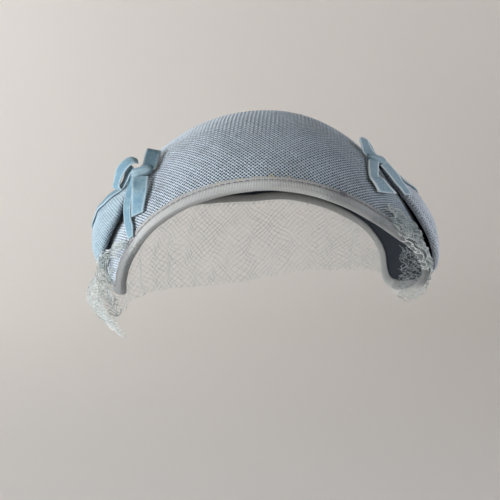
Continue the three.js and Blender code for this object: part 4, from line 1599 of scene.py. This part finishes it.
def straw_material(settings, draped=False):
    name = "draped blue straw cloth" if draped else "blue straw cloth"
    if name in bpy.data.materials:
        return bpy.data.materials[name]
    material, tree, shader = new_material(name, 0.62, Sheen_Weight=0.15, Sheen_Roughness=0.5)
    place = object_place(tree)
    sideways = node(tree, "ShaderNodeSeparateXYZ", _0=place).outputs[0]
    # The colour goes from the wearer's right to the left; on the crown this is painted shade, darker
    # away from the key light.
    left = remap(tree, sideways, -10 * MM, 62 * MM, 0.0, 1.0)
    thread_colour = blend_colour(
        tree,
        left,
        tuple(settings.draped_right if draped else settings.shaded),
        tuple(settings.draped if draped else settings.light),
    )
    aged = age(tree, thread_colour, tuple(settings.faded), 26.0, 0.4 if draped else 0.75)
    shade = stored(tree, "shade")
    level = maths(tree, "MULTIPLY_ADD", shade, 0.05, 1.0)
    grey = node(tree, "ShaderNodeCombineColor", _0=level, _1=level, _2=level).outputs[0]
    tinted = blend_colour(tree, 1.0, aged, grey, "MULTIPLY")
    # Painted shade in the weave: the threads are darkened towards the foundation colour along their
    # sides and dips.
    groove_shade = stored(tree, "groove_shade")
    deep = remap(tree, groove_shade, 0.12, 0.8, 0.0, 1.0)
    shaded = blend_colour(tree, deep, tinted, tuple(settings.dark))
    # Painted shade where the draped cloth turns under.
    under_fold_shade = stored(tree, "under_fold_shade")
    shaded = blend_colour(tree, maths(tree, "MULTIPLY", under_fold_shade, 0.8), shaded, colour(TUCK_SHADE_TINT))
    tree.links.new(marked(tree, shaded), shader.inputs["Base Color"])
    height = placed(tree, fibres(), Across_scale=7.0, Along_scale=0.9)["Height"]
    rough = maths(tree, "MULTIPLY_ADD", height, 0.3, 0.18)
    tree.links.new(rough, shader.inputs["Roughness"])
    bumped(tree, shader, height, 0.35, 0.00012)
    return material


def foundation_material(settings):
    name = "stiffened foundation"
    if name in bpy.data.materials:
        return bpy.data.materials[name]
    material, tree, shader = new_material(name, 0.85)
    place = object_place(tree)
    weave = node(tree, "ShaderNodeTexNoise", Vector=place, Scale=1400.0, Detail=2.0)
    aged = age(tree, tuple(settings.dark), colour(0x1D2730), 30.0, 0.6)
    tree.links.new(aged, shader.inputs["Base Color"])
    bumped(tree, shader, weave.outputs[0], 0.5, 0.0002)
    return material


def grosgrain_material(settings):
    name = "grosgrain ribbon"
    if name in bpy.data.materials:
        return bpy.data.materials[name]
    material, tree, shader = new_material(name, 0.55, Sheen_Weight=0.2)
    aged = age(tree, tuple(settings.grosgrain), tuple(settings.soiled), 45.0, 0.45)
    seam = stored(tree, "seam")
    seam_and_fold_dark = blend_colour(tree, maths(tree, "MULTIPLY", seam, 0.35), aged, colour(SEAM_TINT))
    # Painted shade on the binding's fold, its underside and its inside.
    fold = stored(tree, "fold")
    seam_and_fold_dark = blend_colour(tree, maths(tree, "MULTIPLY", fold, 0.6), seam_and_fold_dark, colour(FOLD_SHADE_TINT))
    place = node(tree, "ShaderNodeUVMap", {"uv_map": "cloth"}).outputs[0]
    along = node(tree, "ShaderNodeSeparateXYZ", _0=place).outputs[1]
    # Painted shade: the ribbon is painted darker in the grooves between its cross ribs.
    phase = maths(tree, "MULTIPLY", along, 2 * math.pi / (settings.rib / MM))
    groove_shade = maths(tree, "MULTIPLY_ADD", maths(tree, "COSINE", phase), -0.5, 0.5)
    ribbed = blend_colour(tree, maths(tree, "MULTIPLY", groove_shade, 0.7), seam_and_fold_dark, colour(GROOVE_SHADE_TINT))
    ribbed = marked(tree, ribbed)
    # Painted shade over the binding's right part, its left end and its upper left.
    for mark in BINDING_SHADE:
        ribbed = dab(tree, ribbed, *mark, BINDING_SHADE_TINT)
    tree.links.new(ribbed, shader.inputs["Base Color"])
    height = placed(tree, fibres(), Across_scale=1.2, Along_scale=9.0)["Height"]
    tree.links.new(maths(tree, "MULTIPLY_ADD", height, 0.25, 0.42), shader.inputs["Roughness"])
    bumped(tree, shader, height, 0.3, 0.0001)
    return material


def stitch_material(settings):
    material, tree, shader = new_material("sewing thread", 0.6)
    aged = age(tree, tuple(settings.stitch), colour(0x8F8B8E), 60.0, 0.5)
    tree.links.new(aged, shader.inputs["Base Color"])
    return material


def velvet_material(settings):
    name = "blue velvet ribbon"
    if name in bpy.data.materials:
        return bpy.data.materials[name]
    sheen = {"Sheen_Weight": 0.6, "Sheen_Roughness": 0.35, "Sheen_Tint": colour(0xC7DCE4)}
    material, tree, shader = new_material(name, 0.85, **sheen)
    aged = age(tree, tuple(settings.velvet), colour(0x98B0B4), 70.0, 0.7)
    pile = placed(tree, fibres(), Across_scale=2.2, Along_scale=1.4)["Height"]
    # The right bow's ribbons are painted paler, with whiter and broader bare edges.
    paled = stored(tree, "paled")
    right_paled = blend_colour(tree, paled, aged, tuple(settings.worn))
    crushed = remap(tree, pile, 0.42, 0.62, 0.0, 1.0)
    deep = blend_colour(tree, maths(tree, "MULTIPLY", crushed, 0.7), right_paled, colour(CRUSHED_TINT))
    worn = stored(tree, "worn")
    bare = blend_colour(tree, paled, tuple(settings.worn), colour(0xFFFFFF))
    bareness = maths(tree, "MULTIPLY", worn, maths(tree, "MULTIPLY_ADD", paled, 0.8, 0.5))
    edged = blend_colour(tree, bareness, deep, bare)
    tree.links.new(edged, shader.inputs["Base Color"])
    nap = placed(tree, fibres(), Across_scale=9.0, Along_scale=7.0)["Height"]
    bumped(tree, shader, nap, 0.4, 0.00015)
    return material


def net_material(settings):
    name = "veil net"
    if name in bpy.data.materials:
        return bpy.data.materials[name]
    material, tree, shader = new_material(name, 0.7)
    aged = age(tree, tuple(settings.net), colour(0x9CABA9), 70.0, 0.75)
    # Darker thread where a patch is painted darker; on the net inside the hat this is painted shade.
    darkening = stored(tree, "darkening")
    darkened = blend_colour(tree, darkening, aged, colour(NET_DARK_TINT))
    tree.links.new(darkened, shader.inputs["Base Color"])
    return material


# ---- operators --------------------------------------------------------------------------------
class HALFHAT_OT_crown(bpy.types.Operator):
    """Weaves the crown's cloth thread by thread over its stiffened foundation"""

    bl_idname = "halfhat.crown"
    bl_label = "Crown"

    def execute(self, context):
        settings = context.scene.halfhat_cloth
        foundation = crown_foundation(settings)
        woven = crown_threads(settings)
        return {"FINISHED"}


class HALFHAT_OT_drape(bpy.types.Operator):
    """Lays the puffed layer of the same cloth round the front"""

    bl_idname = "halfhat.drape"
    bl_label = "Front drape"

    def execute(self, context):
        settings = context.scene.halfhat_cloth
        body = drape_body(settings)
        drape_threads(settings)
        return {"FINISHED"}


class HALFHAT_OT_bindings(bpy.types.Operator):
    """Folds the ribbed ribbon over both edges of the crown and stitches it down"""

    bl_idname = "halfhat.bindings"
    bl_label = "Bindings"

    def execute(self, context):
        settings = context.scene.halfhat_ribbon
        for name, edge, side, joints in (
            ("back_binding", ARCH["back"], 1, (26.0, 118.0)),
            ("front_binding", ARCH["front"], -1, (200.0,)),
        ):
            sewing = stitches(name + "_stitches", edge, side, settings)
            piece = binding(name, edge, side, settings, joints)
            total = edge_line(edge, count=2)["total"]
        return {"FINISHED"}


class HALFHAT_OT_velvet(bpy.types.Operator):
    """Ties the velvet bows and runs the velvet band round the front"""

    bl_idname = "halfhat.velvet"
    bl_label = "Velvet band and bows"

    def execute(self, context):
        settings = context.scene.halfhat_ribbon
        band, length = velvet_band(settings)
        for name, edges in RIBBONS.items():
            ribbon, length = bow_ribbon(name, edges, settings)
        for name, shape in KNOTS.items():
            bow_knot(name, shape, settings)
        return {"FINISHED"}


class HALFHAT_OT_veil(bpy.types.Operator):
    """Hangs the net veil from the front edge and bunches its ends over the back corners"""

    bl_idname = "halfhat.veil"
    bl_label = "Veil"

    def execute(self, context):
        settings = context.scene.halfhat_veil
        piece, wide, long = veil(settings)
        for name, patches in NET_PATCHES.items():
            end, area = veil_end(name, patches, settings)
        return {"FINISHED"}


class HALFHAT_OT_studio(bpy.types.Operator):
    """Sets the pale floor and wall, the soft lights and the camera behind the hat"""

    bl_idname = "halfhat.studio"
    bl_label = "Studio"

    def execute(self, context):
        settings = context.scene.halfhat_studio
        backdrop(settings)
        lights(settings)
        camera()
        return {"FINISHED"}


# ---- studio -----------------------------------------------------------------------------------
FLOOR_RADIUS = 1.5
WALL_BEND = 0.9  # radius of the curve from the floor up to the wall
WALL_RISE = 1.6
CAMERA_PLACE = (0.13093, 0.9516, 0.08721)
CAMERA_AIM = (0.01058, 0.02258, -0.0707)
CAMERA_LENS = 126.4
CAMERA_ROLL = -2.187  # degrees


def backdrop(settings):
    """A round floor that curves up into a wall on every side."""
    floor = CAD_BOX[0].z - settings.floor_drop
    deselect()
    bpy.ops.mesh.primitive_circle_add(
        vertices=96, radius=FLOOR_RADIUS, fill_type="NGON", location=(0, 0, floor)
    )
    stage = bpy.context.object
    stage.name = "studio_backdrop"
    bpy.ops.object.mode_set(mode="EDIT")
    bpy.ops.mesh.select_all(action="DESELECT")
    bpy.ops.object.mode_set(mode="OBJECT")
    for edge in stage.data.edges:
        edge.select = True
    bpy.ops.object.mode_set(mode="EDIT")
    bpy.ops.mesh.select_mode(type="EDGE")
    steps = 12
    for i in range(steps):
        turn0, turn1 = (math.pi / 2 * (i + k) / steps for k in (0, 1))
        wide0, wide1 = (FLOOR_RADIUS + WALL_BEND * math.sin(t) for t in (turn0, turn1))
        up = WALL_BEND * (math.cos(turn0) - math.cos(turn1))
        bpy.ops.mesh.extrude_edges_move(TRANSFORM_OT_translate={"value": (0, 0, up)})
        bpy.ops.transform.resize(value=(wide1 / wide0, wide1 / wide0, 1), center_override=(0, 0, floor))
    bpy.ops.mesh.extrude_edges_move(TRANSFORM_OT_translate={"value": (0, 0, WALL_RISE)})
    bpy.ops.object.mode_set(mode="OBJECT")
    bpy.ops.object.transform_apply(location=True, rotation=True, scale=True)
    bpy.ops.object.shade_smooth()
    material, tree, shader = new_material("pale studio paint", 0.9)
    place = object_place(tree)
    mottle = node(tree, "ShaderNodeTexNoise", Vector=place, Scale=1.3, Detail=2.0)
    sideways = node(tree, "ShaderNodeSeparateXYZ", _0=place).outputs[0]
    # Painted shade: the paint darkens towards -X, away from the key and wall lights.
    far = remap(tree, sideways, -0.7, 0.5, 0.36, 0.0)
    pale = blend_colour(
        tree,
        maths(tree, "MULTIPLY_ADD", mottle.outputs[0], 0.12, far),
        tuple(settings.backdrop),
        colour(0xB9B2AB),
    )
    tree.links.new(pale, shader.inputs["Base Color"])
    stage.data.materials.append(material)


def aimed(place, target):
    """The turn that points a light or camera at place towards target."""
    return (Vector(target) - Vector(place)).to_track_quat("-Z", "Y")


def area_light(name, place, target, size, power, tint_code):
    """A soft box of a width and a height that faces its target."""
    data = bpy.data.lights.new(name, "AREA")
    data.shape = "RECTANGLE"
    data.size, data.size_y = size
    data.energy = power
    data.color = colour(tint_code)[:3]
    light = bpy.data.objects.new(name, data)
    light.location = place
    light.rotation_mode = "QUATERNION"
    light.rotation_quaternion = aimed(place, target)
    light.visible_camera = False
    bpy.context.scene.collection.objects.link(light)


def lights(settings):
    hat = (0, 0, -0.05)
    area_light("key", (1.21, 0.47, 0.08), hat, (1.2, 0.6), settings.key, 0xF8FAFF)
    area_light("fill", (-1.25, 0.3, 0.08), hat, (0.9, 0.5), settings.fill, 0xE6EEFF)
    area_light("lamp", (-0.34, 1.02, 0.98), hat, (0.12, 0.12), settings.lamp, 0xFFFDFA)
    area_light("wall", (1.3, -1.5, 1.05), (0.5, -2.4, 0.85), (0.8, 0.8), settings.wall, 0xFFFEFC)
    world = bpy.data.worlds.new("studio air")
    bpy.context.scene.world = world
    world.use_nodes = True
    sky = world.node_tree.nodes["Background"]
    sky.inputs["Color"].default_value = colour(0xF4F4F2)
    sky.inputs["Strength"].default_value = settings.air


def camera():
    data = bpy.data.cameras.new("camera")
    data.lens = CAMERA_LENS
    data.sensor_width = 36.0
    data.clip_end = 50.0
    eye = bpy.data.objects.new("camera", data)
    eye.location = CAMERA_PLACE
    eye.rotation_mode = "QUATERNION"
    roll = Matrix.Rotation(math.radians(CAMERA_ROLL), 4, "Z").to_quaternion()
    eye.rotation_quaternion = aimed(CAMERA_PLACE, CAMERA_AIM) @ roll
    bpy.context.scene.collection.objects.link(eye)
    bpy.context.scene.camera = eye
    bpy.context.scene.view_settings.view_transform = "Standard"


# ---- add-on -----------------------------------------------------------------------------------
SETTINGS = {
    "halfhat_cloth": HALFHAT_ClothSettings,
    "halfhat_ribbon": HALFHAT_RibbonSettings,
    "halfhat_veil": HALFHAT_VeilSettings,
    "halfhat_studio": HALFHAT_StudioSettings,
}
OPERATORS = (
    HALFHAT_OT_crown,
    HALFHAT_OT_drape,
    HALFHAT_OT_bindings,
    HALFHAT_OT_velvet,
    HALFHAT_OT_veil,
    HALFHAT_OT_studio,
)


class HALFHAT_PT_panel(bpy.types.Panel):
    bl_idname = "HALFHAT_PT_panel"
    bl_label = "Half hat"
    bl_space_type = "VIEW_3D"
    bl_region_type = "UI"
    bl_category = "Half hat"

    def draw(self, context):
        for key, kind in SETTINGS.items():
            box = self.layout.box()
            for name in kind.__annotations__:
                box.prop(getattr(context.scene, key), name)
        for operator in OPERATORS:
            self.layout.operator(operator.bl_idname)


def register():
    for kind in (*SETTINGS.values(), *OPERATORS, HALFHAT_PT_panel):
        bpy.utils.register_class(kind)
    for key, kind in SETTINGS.items():
        setattr(bpy.types.Scene, key, bpy.props.PointerProperty(type=kind))


def unregister():
    for key in SETTINGS:
        delattr(bpy.types.Scene, key)
    for kind in (HALFHAT_PT_panel, *reversed(OPERATORS), *SETTINGS.values()):
        bpy.utils.unregister_class(kind)


def main():
    register()
    bpy.ops.halfhat.crown()
    bpy.ops.halfhat.drape()
    bpy.ops.halfhat.bindings()
    bpy.ops.halfhat.velvet()
    bpy.ops.halfhat.veil()
    bpy.ops.halfhat.studio()


if __name__ == "__main__":
    main()
